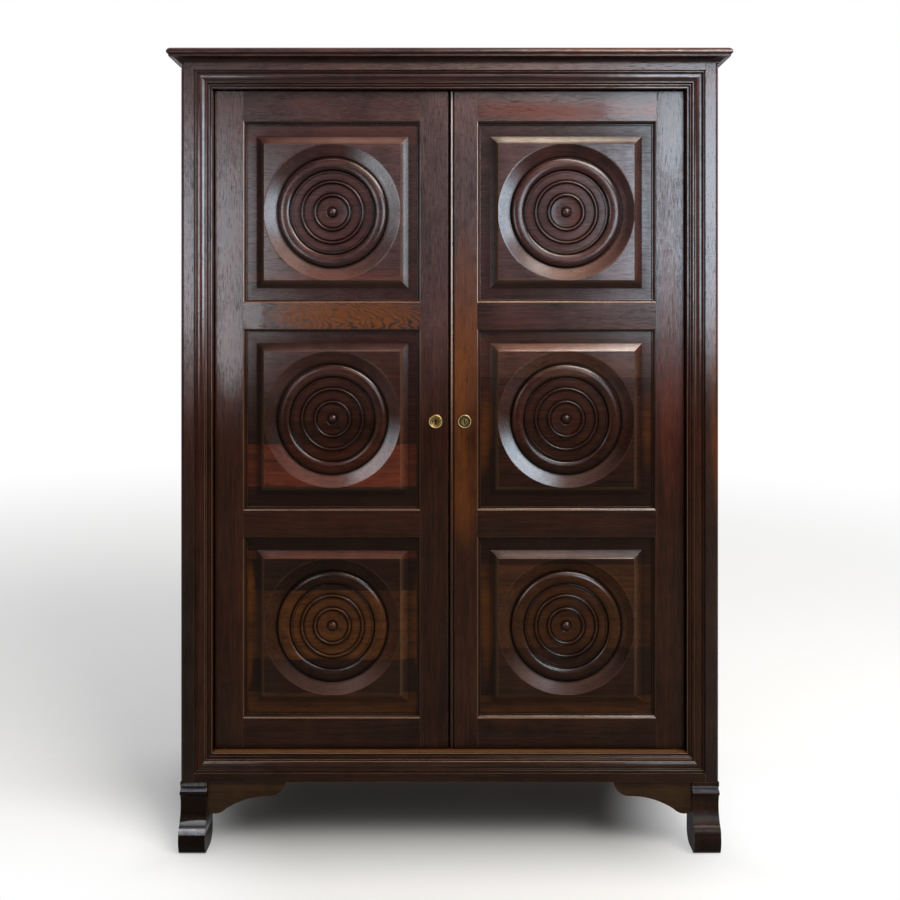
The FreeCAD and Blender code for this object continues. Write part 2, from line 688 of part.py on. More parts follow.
def opening_profile():
    """Small bead, quirk, wide swelling, fillet, hollow, bead and lip, stepping down towards the opening."""
    edge, bead_radius = size.moulding_edge_depth, size.moulding_bead_radius
    bead_middle = size.moulding_bead_start + size.moulding_bead_width / 2
    bead_end = size.moulding_bead_start + size.moulding_bead_width
    fillet_end = size.moulding_swell_end + size.moulding_fillet_width
    hollow_end = fillet_end + size.moulding_hollow_width
    inner_middle = hollow_end + size.moulding_inner_bead_width / 2
    inner_end = hollow_end + size.moulding_inner_bead_width
    lip_start = size.moulding_width - size.moulding_lip_width
    return [
        (size.moulding_back, 0),
        (edge, 0),
        (edge, size.moulding_bead_start),
        (size.moulding_bead_depth, bead_middle, -bead_radius),
        (edge, bead_end, -bead_radius),
        (size.moulding_quirk_depth, bead_end + size.moulding_quirk_splay),
        (size.moulding_quirk_depth, size.moulding_swell_start),
        (size.moulding_swell_depth, size.moulding_swell_end, -size.moulding_swell_radius),
        (size.moulding_fillet_depth, size.moulding_swell_end),
        (size.moulding_fillet_depth, fillet_end),
        (size.moulding_hollow_depth, hollow_end, size.moulding_hollow_radius),
        (size.moulding_inner_bead_depth, inner_middle, -size.moulding_inner_bead_radius),
        (size.moulding_inner_bead_foot, inner_end, -size.moulding_inner_bead_radius),
        (size.moulding_lip_depth, lip_start),
        (size.moulding_lip_depth, size.moulding_width),
        (size.moulding_back, size.moulding_width),
    ]


for name, turn, half_length, x, z in (
        ("opening_moulding_bottom", 0, half_face, 0, face_low),
        ("opening_moulding_left", 90, (face_high - face_low) / 2, -half_face, (face_low + face_high) / 2),
        ("opening_moulding_top", 180, half_face, 0, face_high),
        ("opening_moulding_right", -90, (face_high - face_low) / 2, half_face, (face_low + face_high) / 2)):
    keep(name, mitred_strip(
        name, opening_profile(), 2 * half_length, size.moulding_width, size.moulding_back, turn, x, front, z))


def cornice_strip(name, length, mitred_ends, turn, x, y):
    """Fillet and cove below the top board, mitred outwards at its marked ends."""
    body = new_body(name)
    reach = size.cornice_overhang - size.cornice_setback
    tall, foot, spare = size.cornice_strip_height, size.cornice_foot, size.cut_spare
    cove_top = tall - size.cornice_fillet
    pad(body, draw(sketch_on(body, "YZ_Plane"), [
        (0, 0), (0, tall), (-reach, tall), (-reach, cove_top),
        (size.cornice_quirk - reach, cove_top),
        (-foot, size.cornice_foot_height, -size.cornice_cove_radius),
        (-foot, 0)]), length + 2 * reach, both_ways=True)
    corners = sketch_on(body, "XY_Plane")
    inner, outer = length / 2, length / 2 + reach + spare
    for side, mitred in zip((-1, 1), mitred_ends):
        if mitred:
            draw(corners, [(side * (inner - spare), spare), (side * outer, spare),
                           (side * outer, -reach - spare)])
        else:
            draw(corners, rectangle(side * inner, spare, side * outer, -reach - spare))
    pocket(body, corners, 2 * (tall + spare), both_ways=True)
    return move(body, x, y, carcass_top - tall, ((0, 0, 1), turn))


carcass_middle = (front + back) / 2
keep("front_cornice", cornice_strip("front_cornice", 2 * half_width, (True, True), 0, 0, front))
group("side_cornices", [
    cornice_strip("left_cornice", size.carcass_depth, (False, True), -90, -half_width, carcass_middle),
    cornice_strip("right_cornice", size.carcass_depth, (True, False), 90, half_width, carcass_middle)])


def nosed_board(name):
    """The top board: its front is padded with a rounded nose, and the same nose is cut along both ends."""
    body = new_body(name)
    tall, spare = size.top_board_thickness, size.cut_spare
    half_top = half_width + size.cornice_overhang
    nose_front = front - size.cornice_overhang
    pad(body, draw(sketch_on(body, "YZ_Plane"), [
        (back, 0), (back, tall), (nose_front + size.nose_round, tall),
        (nose_front, size.nose_height, size.nose_radius),
        (nose_front + size.nose_undercut, 0, size.nose_under_radius)]), 2 * half_top, both_ways=True)
    ends = sketch_on(body, "XZ_Plane", -back)
    for side in (-1, 1):
        draw(ends, [
            (side * (half_top - size.nose_round), tall),
            (side * half_top, size.nose_height, -side * size.nose_radius),
            (side * (half_top - size.nose_undercut), 0, -side * size.nose_under_radius),
            (side * (half_top + spare), 0), (side * (half_top + spare), tall)])
    pocket(body, ends, 2 * (back - nose_front + spare), both_ways=True)
    return keep(name, move(body, 0, 0, carcass_top))


nosed_board("top_board")


# --- doors ---------------------------------------------------------------------------------------------

groove_front = size.sticking_height
groove_back = place("groove_back", size.sticking_height + size.panel_thickness)
panel_tongue = place("panel_tongue", size.groove_depth - size.panel_play)
mid_step = place("mid_step", panel_opening_height + size.mid_rail_height)
rail_heights = [
    (Size.of(0), size.end_rail_height),
    (size.end_rail_height + panel_opening_height, size.end_rail_height + mid_step),
    (size.end_rail_height + mid_step + panel_opening_height, size.end_rail_height + 2 * mid_step),
    (door_height - size.end_rail_height, door_height),
]


def stile(name, edge, toward, beaded=False):
    """Upright of a door from its outer edge toward the panels: grooved, mortised, one of them beaded."""
    body = new_body(name)
    wide, thick = size.stile_width, size.door_thickness
    floor = wide - size.groove_depth
    points = [
        (toward * wide, 0),
        (toward * wide, groove_front), (toward * floor, groove_front),
        (toward * floor, groove_back), (toward * wide, groove_back),
        (toward * wide, thick), (0, thick),
    ]
    if beaded:
        bead = size.meeting_bead / 2
        points += [
            (0, bead), (toward * bead, 0, toward * bead), (toward * 2 * bead, bead, toward * bead),
            (toward * (2 * bead + size.meeting_quirk), bead), (toward * (2 * bead + size.meeting_quirk), 0)]
    else:
        points += [(0, 0)]
    pad(body, draw(sketch_on(body, "XY_Plane"), points), door_height)
    play = size.tenon_clearance
    mortises = sketch_on(body, "YZ_Plane", toward * wide)
    for low, high in rail_heights:
        draw(mortises, rectangle(
            groove_front - play, low + size.tenon_shoulder - play,
            groove_back + play, high - size.tenon_shoulder + play))
    pocket(body, mortises, size.tenon_length + size.mortise_spare, backwards=toward < 0)
    return move(body, edge, door_face, door_low)


def bore(body, x, z, radius, depth):
    """A round hole straight back from the front of a door piece."""
    return pocket(body, circle(sketch_on(body, "XZ_Plane"), x, z, radius), depth)


def let_in_sockets(body, toward):
    """Seats for the pivot sockets at the foot and head of a hinge stile."""
    half = size.pivot_plate_width / 2
    for level, upwards in ((Size.of(0), True), (door_height, False)):
        seat = draw(sketch_on(body, "XY_Plane", level), rectangle(
            0, size.pivot_depth - half, toward * size.pivot_plate_length, size.pivot_depth + half))
        pocket(body, seat, size.socket_thickness, backwards=upwards)


def door_rail(name, x, low, high, length, groove_below, groove_above):
    """Rail of a door with a tenon at each end."""
    body = new_body(name)
    tall = high - low
    deep = size.groove_depth
    points = [(0, 0)]
    if groove_below:
        points += [(groove_front, 0), (groove_front, deep), (groove_back, deep), (groove_back, 0)]
    points += [(size.door_thickness, 0), (size.door_thickness, tall)]
    if groove_above:
        points += [(groove_back, tall), (groove_back, tall - deep),
                   (groove_front, tall - deep), (groove_front, tall)]
    points += [(0, tall)]
    pad(body, draw(sketch_on(body, "YZ_Plane"), points), length, both_ways=True)
    tenon = draw(sketch_on(body, "YZ_Plane"), rectangle(
        groove_front, size.tenon_shoulder, groove_back, tall - size.tenon_shoulder))
    pad(body, tenon, length + 2 * size.tenon_length, both_ways=True)
    return move(body, x, door_face, door_low + low)


left_clear = place("left_clear_width", left_meeting + hinge_edge - 2 * size.stile_width)
right_clear = place("right_clear_width", hinge_edge - right_meeting - 2 * size.stile_width)
half_field_width = place(
    "half_field_width", smaller(left_clear, right_clear) / 2 - size.border_beside - size.bevel_width)
half_field_height = place(
    "half_field_height", panel_opening_height / 2 - size.border_above - size.bevel_width)
dish_radius = place("dish_radius", smaller(half_field_width, half_field_height) + size.dish_overrun)
turning_scale = place("turning_scale", dish_radius / size.pattern_radius)


def turned_profile():
    """Half section of the turning, from the rim of the dish to the axis: (radius, height over the border).

    A saucer runs down from the field to the foot of the large ring, which has sloping sides and a flat crown;
    inside it lie a flat with two small pointed rings, a shallow sunk bowl and the boss.
    """
    field = -size.field_raise
    flat, bowl = field + size.plate_depth, field + size.plate_depth + size.bowl_depth
    above = field - size.cut_spare
    ring, half_bead = turning_scale * size.ring_radius, size.bead_width / 2
    outer_bead, inner_bead = turning_scale * size.outer_bead_radius, turning_scale * size.inner_bead_radius
    return [
        (0, above), (dish_radius, above), (dish_radius, field),
        (ring, field + size.dish_depth),
        (ring - size.ring_flank, field + size.crown_depth),
        (ring - size.ring_width + size.ring_flank, field + size.crown_depth),
        (ring - size.ring_width, flat),
        (outer_bead + half_bead, flat), (outer_bead, flat - half_bead), (outer_bead - half_bead, flat),
        (inner_bead + half_bead, flat), (inner_bead, flat - half_bead),
        (inner_bead - half_bead - size.bowl_depth, bowl),
        (size.boss_radius, bowl), (size.boss_crown_radius, field), (0, field)]


def panel(name, width, height, x, z):
    """Raised and fielded panel with a dish and rings turned in its field."""
    body = new_body(name)
    half_w, half_h = width / 2 + panel_tongue, height / 2 + panel_tongue
    pad(body, draw(sketch_on(body, "XZ_Plane"), rectangle(-half_w, -half_h, half_w, half_h)),
        size.panel_thickness - 2 * size.panel_clearance, backwards=True)
    bevel_w, bevel_h = half_field_width + size.bevel_width, half_field_height + size.bevel_width
    loft = body.newObject("PartDesign::AdditiveLoft", name + "_field")
    loft.Profile = draw(sketch_on(body, "XZ_Plane"), rectangle(-bevel_w, -bevel_h, bevel_w, bevel_h))
    loft.Sections = [draw(sketch_on(body, "XZ_Plane", size.field_raise), rectangle(
        -half_field_width, -half_field_height, half_field_width, half_field_height))]
    loft.Ruled = True
    revolve(body, draw(sketch_on(body, "XY_Plane"), turned_profile()), "Groove")
    return move(body, x, door_face + groove_front + size.panel_clearance, z)


def sticking_profile():
    """Fillet and quarter round between a stile and the panel's border: (depth, distance inwards)."""
    width, edge, fillet = size.sticking_width, size.sticking_edge_depth, size.sticking_fillet
    foot = size.sticking_foot_depth
    return [
        (size.sticking_height, 0), (edge, 0), (edge, fillet), (edge + fillet, fillet),
        (foot, width - size.sticking_foot_width, -size.sticking_radius), (foot, width),
        (size.sticking_height, width)]


panel_names = ("bottom", "middle", "top")
for hand, side, hinge, meeting, clear in (
        ("left", 1, -hinge_edge, left_meeting, left_clear),
        ("right", -1, hinge_edge, right_meeting, right_clear)):
    door = hand + "_door_"
    hinge_stile = stile(door + "hinge_stile", hinge, side)
    let_in_sockets(hinge_stile, side)
    keep(door + "hinge_stile", hinge_stile)
    meeting_stile = stile(door + "meeting_stile", meeting, -side, beaded=hand == "right")
    lock_level = size.lock_height - door_low
    if hand == "left":
        bore(meeting_stile, -size.left_lock_inset, lock_level, size.rosette_bore, size.keyhole_disc_depth)
    else:
        bore(meeting_stile, size.right_lock_inset, lock_level, size.plug_radius + size.plug_clearance,
             size.door_thickness)
    keep(door + "meeting_stile", meeting_stile)

    centre = place(hand + "_door_centre", (meeting + hinge) / 2)
    rails = [
        door_rail("%srail_%d" % (door, number), centre, low, high, clear, number > 0, number < 3)
        for number, (low, high) in enumerate(rail_heights)]
    keep(door + "bottom_rail", rails[0])
    group(door + "middle_rails", rails[1:3])
    keep(door + "top_rail", rails[3])

    panels, strips = [], []
    for number, row in enumerate(panel_names):
        low = door_low + rail_heights[number][1]
        level = low + panel_opening_height / 2
        panels.append(panel("%s%s_panel" % (door, row), clear, panel_opening_height, centre, level))
        strip = door + row + "_strip"
        for part, turn, length, x, z in (
                ("_below", 0, clear, centre, low),
                ("_left", 90, panel_opening_height, centre - clear / 2, level),
                ("_above", 180, clear, centre, low + panel_opening_height),
                ("_right", -90, panel_opening_height, centre + clear / 2, level)):
            strips.append(mitred_strip(
                strip + part, sticking_profile(), length, size.sticking_width, size.sticking_height,
                turn, x, door_face, z))
    group(door + "panels", panels)
    group(door + "sticking", strips)


# --- feet and brackets ---------------------------------------------------------------------------------

def scroll_foot(name, side):
    """Foot with an S-shaped front: cap, quirk, bead, long hollow and a swelling toe; its heel is rounded."""
    body = new_body(name)
    top, toe, heel = size.carcass_lift, front - size.foot_toe_reach, front + size.foot_heel_reach
    cap, bead = front - size.foot_cap_reach, front - size.foot_bead_reach
    quirk, splay = cap + size.foot_quirk_depth, size.foot_quirk_splay
    quirk_top = top - size.foot_cap_height - splay
    quirk_low = quirk_top - size.foot_quirk_height
    bead_top = quirk_low - 2 * splay
    bead_low = bead_top - size.foot_bead_height
    pad(body, draw(sketch_on(body, "YZ_Plane"), [
        (cap, top),
        (cap, top - size.foot_cap_height),
        (quirk, quirk_top),
        (quirk, quirk_low, size.foot_quirk_radius),
        (bead, bead_top),
        (bead, bead_low, size.foot_bead_radius),
        (bead + size.foot_bead_splay, bead_low - size.foot_bead_splay),
        (toe + size.foot_knee_setback, size.foot_knee_height, -size.foot_hollow_radius),
        (toe, size.foot_toe_height, size.foot_toe_radius),
        (toe + size.foot_roll_setback, size.foot_roll_height, size.foot_front_radius),
        (toe + size.foot_sole_setback, 0, size.foot_roll_radius),
        (heel - size.foot_heel_round, 0),
        (heel, size.foot_heel_round, size.foot_heel_radius),
        (heel, top)]), size.foot_width)
    x = -half_width if side > 0 else half_width - size.foot_width
    return keep(name, move(body, x, 0, 0))


def bracket_outline(start, along):
    """Shaped bracket: a quarter round at its tip, a long hollow and a low lobe against the foot."""
    top, length, low = size.carcass_lift, size.bracket_length, size.carcass_lift - size.bracket_drop
    return [
        (start, top), (start, low),
        (start + along * size.bracket_lobe_length, low + size.bracket_lobe_rise,
         along * size.bracket_lobe_radius),
        (start + along * (length - size.bracket_tip_length), top - size.bracket_tip_height,
         -along * size.bracket_hollow_radius),
        (start + along * length, top, along * size.bracket_tip_radius)]


def bracket(name, role, offset, start, along, inwards):
    body = new_body(name)
    pad(body, draw(sketch_on(body, role, offset), bracket_outline(start, along)), size.bracket_thickness,
        backwards=inwards)
    return body


foot_inner = place("foot_inner", half_width - size.foot_width)
side_offset = half_width - size.bracket_setback
for side, hand in ((1, "left"), (-1, "right")):
    scroll_foot("%s_front_foot" % hand, side)
    keep("%s_front_bracket" % hand, bracket(
        "%s_front_bracket" % hand, "XZ_Plane", -front - size.bracket_setback, -side * foot_inner, side, True))
group("side_brackets", [
    bracket("side_bracket_%d" % number, "YZ_Plane", -side * side_offset, start, along, side < 0)
    for number, (side, start, along) in enumerate((
        (1, front + size.foot_heel_reach, 1), (1, rear_post_front, -1),
        (-1, front + size.foot_heel_reach, 1), (-1, rear_post_front, -1)), start=1)])


# --- pivot hinges --------------------------------------------------------------------------------------

def pivot_plate(name, side, upwards):
    """Brass plate let into a rail, with the pin that a door turns on; the lower one has a collar."""
    body = new_body(name)
    half = size.pivot_plate_width / 2
    plate = draw(sketch_on(body, "XY_Plane"), rectangle(
        -side * size.pivot_inset, -half, side * (size.pivot_plate_length - size.pivot_inset), half))
    pad(body, plate, size.pivot_plate_thickness, backwards=True)
    if upwards:
        pad(body, circle(sketch_on(body, "XY_Plane"), 0, 0, size.collar_radius), size.pivot_collar)
    pad(body, circle(sketch_on(body, "XY_Plane"), 0, 0, size.pivot_pin_radius), size.pivot_pin_length)
    level = opening_low if upwards else opening_high
    return move(body, -side * (hinge_edge - size.pivot_inset), pivot_y, level,
                None if upwards else ((1, 0, 0), 180))


def pivot_socket(name, side, upwards):
    """Brass block let into the door's edge, with the hole that takes the pin."""
    body = new_body(name)
    half = size.pivot_plate_width / 2
    radius = size.pivot_pin_radius + size.pivot_clearance
    block = sketch_on(body, "XY_Plane")
    draw(block, rectangle(
        -side * size.pivot_inset, -half, side * (size.pivot_plate_length - size.pivot_inset), half))
    circle(block, 0, 0, radius)
    pad(body, block, size.socket_thickness)
    level = door_low if upwards else door_high
    return move(body, -side * (hinge_edge - size.pivot_inset), pivot_y, level,
                None if upwards else ((1, 0, 0), 180))


group("pivot_plates", [
    pivot_plate("pivot_plate_%d" % number, side, upwards)
    for number, (side, upwards) in enumerate(((1, True), (1, False), (-1, True), (-1, False)), start=1)])
for side, hand in ((1, "left"), (-1, "right")):
    group("%s_door_sockets" % hand, [
        pivot_socket("%s_socket_below" % hand, side, True),
        pivot_socket("%s_socket_above" % hand, side, False)])


# --- lock: escutcheons, plug, bolt, case and keeper ----------------------------------------------------

def rosette(name, x):
    """Ring on the face of a stile, round a key hole."""
    body = new_body(name)
    ring = circle(sketch_on(body, "XZ_Plane"), 0, 0, size.rosette_radius)
    circle(ring, 0, 0, size.rosette_bore)
    pad(body, ring, size.rosette_thickness)
    return keep(name, move(body, x, door_face, size.lock_height))


rosette("left_rosette", lock_axis_left)
rosette("right_rosette", lock_axis_right)

disc = new_body("keyhole_disc")
recess, slot = size.keyhole_disc_proud, size.key_slot_half
pad(disc, circle(sketch_on(disc, "XZ_Plane", recess), 0, 0, size.rosette_bore - size.plug_clearance),
    size.keyhole_disc_depth + recess, backwards=True)
round_side, rise = slot + size.key_shoulder, size.key_pin_rise
keyhole = draw(sketch_on(disc, "XZ_Plane", recess), [
    (-slot, -size.key_slot_length), (slot, -size.key_slot_length), (slot, 0), (round_side, rise),
    (0, 2 * rise, size.key_pin_radius), (-round_side, rise, size.key_pin_radius), (-slot, 0)])
pocket(disc, keyhole, size.keyhole_disc_depth + recess - size.key_wall)
keep("left_keyhole_disc", move(disc, lock_axis_left, door_face, size.lock_height))

DIAGONAL = 0.5 ** 0.5
arm_front = size.door_thickness + size.lock_bolt_clearance
arm_back = arm_front + size.crank_arm_thickness
crank = size.crank_radius * DIAGONAL
bolt_front, bolt_back = size.lock_bolt_front, size.lock_bolt_front + size.lock_bolt_thickness


def lock_plug():
    """Plug with a key slot; at its back an arm at 45 degrees carries the pin that cranks the bolt."""
    body = new_body("lock_plug")
    proud = size.plug_proud
    pad(body, circle(sketch_on(body, "XZ_Plane", proud), 0, 0, size.plug_radius), arm_back + proud,
        backwards=True)
    across = size.crank_arm_half * DIAGONAL
    along = crank + size.crank_arm_spare * DIAGONAL
    pad(body, draw(sketch_on(body, "XZ_Plane", -arm_front), [
        (across, -across), (along + across, along - across), (along - across, along + across),
        (-across, across)]), size.crank_arm_thickness, backwards=True)
    pin_reach = size.door_thickness + bolt_back + size.crank_pin_spare - arm_back
    pad(body, circle(sketch_on(body, "XZ_Plane", -arm_back), crank, crank, size.crank_pin_radius), pin_reach,
        backwards=True)
    pocket(body, draw(sketch_on(body, "XZ_Plane", proud), rectangle(
        -slot, -size.key_slot_length, slot, size.key_slot_length)), size.plug_slot_depth)
    return keep("lock_plug", move(body, lock_axis_right, door_face, size.lock_height))


lock_plug()

case_left = size.case_setback
bolt_low = size.lock_bolt_rise - size.lock_bolt_height / 2
bolt_high = size.lock_bolt_rise + size.lock_bolt_height / 2

lock_case = new_body("lock_case")
half_case = size.case_height / 2
wall = size.case_wall
pad(lock_case, draw(sketch_on(lock_case, "XZ_Plane"), rectangle(
    case_left, -half_case, case_left + size.case_width, half_case)), size.case_depth, backwards=True)
pocket(lock_case, draw(sketch_on(lock_case, "XZ_Plane"), rectangle(
    case_left + wall, wall - half_case, case_left + size.case_width - wall, half_case - wall)),
    size.case_depth - wall)
gap = size.lock_bolt_clearance
pocket(lock_case, draw(sketch_on(lock_case, "YZ_Plane", case_left), rectangle(
    bolt_front - gap, bolt_low - gap, bolt_back + gap, bolt_high + gap)), wall, backwards=True)
keep("lock_case", move(lock_case, right_meeting, door_back, size.lock_height))

lock_bolt = new_body("lock_bolt")
pin_x = size.right_lock_inset + crank
slot_half = size.crank_pin_radius + size.crank_slot_play
tail = pin_x + slot_half + size.lock_bolt_tail
pad(lock_bolt, draw(sketch_on(lock_bolt, "XZ_Plane", -bolt_front), rectangle(
    case_left + gap, bolt_low, tail, bolt_high)), size.lock_bolt_thickness, backwards=True)
pocket(lock_bolt, draw(sketch_on(lock_bolt, "XZ_Plane", -bolt_front), rectangle(
    pin_x - slot_half, crank - slot_half, pin_x + slot_half, size.crank_radius + slot_half)),
    size.lock_bolt_thickness)
keep("lock_bolt", move(lock_bolt, right_meeting, door_back, size.lock_height))

keeper = new_body("lock_keeper")
room = size.keeper_clearance
inner_low, inner_high = bolt_low - room, bolt_high + room
outer_low, outer_high = inner_low - size.keeper_wall, inner_high + size.keeper_wall
cover = bolt_back + room + size.keeper_wall
section = sketch_on(keeper, "YZ_Plane")
draw(section, [
    (0, outer_low - size.keeper_flange), (size.keeper_wall, outer_low - size.keeper_flange),
    (size.keeper_wall, outer_low), (cover, outer_low), (cover, outer_high), (size.keeper_wall, outer_high),
    (size.keeper_wall, outer_high + size.keeper_flange), (0, outer_high + size.keeper_flange)])
draw(section, rectangle(bolt_front - room, inner_low, bolt_back + room, inner_high))
pad(keeper, section, size.keeper_length, backwards=True)
keep("lock_keeper", move(keeper, left_meeting - size.case_setback, door_back, size.lock_height))


# --- barrel bolts and stops ----------------------------------------------------------------------------

knob_level = size.barrel_length / 2


def barrel_case(name, upwards):
    """Plate with a barrel round the rod and a slot for its knob; local Z runs towards the rod's end."""
    body = new_body(name)
    half = size.barrel_width / 2
    axis = rod_y - door_back
    outer = rod_hole + size.barrel_wall
    section = sketch_on(body, "XY_Plane")
    draw(section, [
        (-half, 0), (half, 0), (half, size.barrel_plate), (outer, size.barrel_plate),
        (outer, axis), (0, axis + outer, outer), (-outer, axis, outer),
        (-outer, size.barrel_plate), (-half, size.barrel_plate)])
    circle(section, 0, axis, rod_hole)
    pad(body, section, size.barrel_length)
    room = size.knob_radius + size.knob_clearance
    slot = draw(sketch_on(body, "XZ_Plane", -axis), rectangle(
        -room, knob_level - room, room, knob_level + size.rod_throw + room))
    pocket(body, slot, outer + size.cut_spare)
    return place_bolt(body, door_back, upwards)


def place_bolt(body, y, upwards):
    """Sets a bolt's piece at the head of the door, or turned over at its foot."""
    reach = size.barrel_setback + size.barrel_length
    if upwards:
        return move(body, rod_x, y, door_high - reach)
    return move(body, rod_x, y, door_low + reach, ((0, 1, 0), 180))


def bolt_rod(name, upwards):
    """Rod with a turned knob; local Z runs towards the end that enters the rail."""
    body = new_body(name)
    reach = size.barrel_setback + size.barrel_length - size.rod_withdrawn
    pad(body, circle(sketch_on(body, "XY_Plane", reach - size.rod_length), 0, 0, size.rod_radius),
        size.rod_length)
    pad(body, circle(sketch_on(body, "XZ_Plane"), 0, knob_level, size.knob_radius),
        size.rod_radius + size.knob_length, backwards=True)
    return place_bolt(body, rod_y, upwards)


group("barrel_cases", [barrel_case("upper_barrel_case", True), barrel_case("lower_barrel_case", False)])
keep("upper_bolt_rod", bolt_rod("upper_bolt_rod", True))
keep("lower_bolt_rod", bolt_rod("lower_bolt_rod", False))

stop_front = place("stop_front", door_back + size.stop_clearance)
stop_starts = (left_meeting - size.left_stop_inset - size.stop_length, right_meeting + size.right_stop_inset)
group("door_stops", [
    board("door_stop_%d" % number, (start, stop_front, low),
          (start + size.stop_length, stop_front + size.stop_depth, low + size.stop_height))
    for number, (start, low) in enumerate(
        [(start, low) for start in stop_starts for low in (opening_low, opening_high - size.stop_height)],
        start=1)])


# --- check and write -----------------------------------------------------------------------------------

doc.recompute()
for thing in doc.Objects:
    if "Invalid" in thing.State or "Error" in thing.State:
        raise RuntimeError("%s (%s) failed: %s" % (thing.Name, thing.Label, thing.State))
os.makedirs("parts", exist_ok=True)
for name, thing in nodes.items():
    if thing.Shape.isNull() or not thing.Shape.isValid() or not thing.Shape.Solids:
        raise RuntimeError(name + " has no valid solid")
    thing.Shape.exportStep("parts/%s.step" % name)
    print("%-28s %2d solids %12.1f mm3" % (name, len(thing.Shape.Solids), thing.Shape.Volume))
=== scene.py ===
"""A linen press of dark polished oak: turned panels, run mouldings, brass fittings and their finishes."""

import math

import bpy
import numpy as np
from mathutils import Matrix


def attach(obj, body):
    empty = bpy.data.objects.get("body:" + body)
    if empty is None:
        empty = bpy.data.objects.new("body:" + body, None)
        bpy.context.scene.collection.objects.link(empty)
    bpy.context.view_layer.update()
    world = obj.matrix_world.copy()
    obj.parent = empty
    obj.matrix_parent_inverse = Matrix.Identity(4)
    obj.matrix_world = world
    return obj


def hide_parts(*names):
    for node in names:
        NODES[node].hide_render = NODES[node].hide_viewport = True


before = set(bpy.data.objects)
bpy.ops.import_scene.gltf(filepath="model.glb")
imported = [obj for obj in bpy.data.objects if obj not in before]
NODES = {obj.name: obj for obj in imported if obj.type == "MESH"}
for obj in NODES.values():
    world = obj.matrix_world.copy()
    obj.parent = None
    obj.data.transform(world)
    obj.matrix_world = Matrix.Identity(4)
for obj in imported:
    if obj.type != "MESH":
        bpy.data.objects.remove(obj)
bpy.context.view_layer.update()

MM = 0.001


# --- levels of the doors and their panels, in millimetres ---

DOOR_FACE = -207.5
BORDER_FACE = -194.4
PANEL_BACK = -186.6
FRAME_FACE = -247.5
DOOR_MIDDLE = 973.0
ROWS = {"bottom": 493.17, "middle": DOOR_MIDDLE, "top": 1452.83}
DOORS = {"left": (-272.15, 409.3), "right": (270.15, 413.3)}  # centre and clear width between the stiles
OPENING_HEIGHT = 419.33
FRAME_OPENING = (1159, 1593)
LOCK_LEVEL = 969
ESCUTCHEONS = {"left": -32.5, "right": 34.5}
TONGUE = 8.0
BACK_PITCH = 142.5
BACK_MIDDLE = (266.5, 978.25)
BACK_HEIGHT = 1643.0


# --- the turning, in millimetres from its middle and from the panel's border ---

FIELD = 157.56
FIELD_RAISE = 7.0
BEVEL = 18.5
DISH_RIM = 158.55
DISH_DEPTH = 8.0
RING_FOOT = 127.54
RING_HALF = 14.25
RING_SUNK = 0.4
RING_QUIRKS = ((1.4, 1.5, 1.4, 5), (-30.2, 1.7, 2.2, 7))  # from the ring's foot, half width, depth, stations
FLAT_DEPTH = 5.0
BEADS = (70.4, 40.2)
BEAD_HALF = 2.6
BEAD_HEIGHT = 1.7
QUIRK_REACH = 4.2
QUIRK_HALF = 1.6
QUIRK_DEPTH = 1.8
SCRIBED = 91.5
BOWL = 34.4
BOWL_DEPTH = 6.5
BOSS_QUIRK = 12.3
BOSS_QUIRK_HALF = 2.2
BALL = 11.0
BALL_HEIGHT = 7.2


# --- surfaces ---

def rings_of_quads(rows, columns, closed=False):
    """Faces of rings of points, ring by ring; closed joins the last ring to the first."""
    across, down = np.arange(columns), np.arange(rows if closed else rows - 1)[:, None]
    beside = (across + 1) % columns
    quads = np.stack([down * columns + across, down * columns + beside,
                      (down + 1) * columns + beside, (down + 1) * columns + across], -1)
    return [tuple(f) for f in (quads.reshape(-1, 4) % (rows * columns)).tolist()]


def faces_outward(points, faces):
    """The faces, turned round if the volume they enclose comes out negative."""
    volume = 0.0
    for size in (3, 4):
        group = np.array([f for f in faces if len(f) == size])
        if len(group):
            first = points[group[:, 0]]
            for step in range(1, size - 1):
                volume += np.einsum("ij,ij->i", first, np.cross(
                    points[group[:, step]], points[group[:, step + 1]])).sum()
    return faces if volume > 0 else [f[::-1] for f in faces]


def joined(parts):
    """Several (points, faces, marks) as one; the marks, from 0 to 1, are wear with a painted highlight and
    dirt with painted shade.
    """
    points, faces, marks, count = [], [], [], 0
    for part_points, part_faces, part_marks in parts:
        points.append(part_points)
        marks.append(part_marks)
        faces += [tuple(i + count for i in f) for f in part_faces]
        count += len(part_points)
    return np.concatenate(points), faces, np.concatenate(marks)


def make_piece(name, parts, body, finish, stands_for, crease=32):
    """A mesh from (points in millimetres, faces, marks), smooth but for edges sharper than the crease."""
    points, faces, marks = joined(parts)
    mesh = bpy.data.meshes.new(name)
    mesh.from_pydata((points * MM).tolist(), [], faces)
    mesh.update()
    mesh.shade_smooth()
    mesh.set_sharp_from_angle(angle=math.radians(crease))
    for column, mark in enumerate(("worn", "grimy")):
        attribute = mesh.attributes.new(mark, "FLOAT", "POINT")
        attribute.data.foreach_set("value", marks[:, column].astype(np.float32))
    mesh.materials.append(finish)
    made = bpy.data.objects.new(name, mesh)
    bpy.context.scene.collection.objects.link(made)
    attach(made, body)
    for node in stands_for:
        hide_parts(node)


def bump_over(radius, centre, half_width):
    """Half-round swelling: the square root of 1 less the squared distance from its middle, in half widths."""
    t = np.clip((radius - centre) / half_width, -1, 1)
    return np.sqrt(np.clip(1 - t * t, 0, 1))


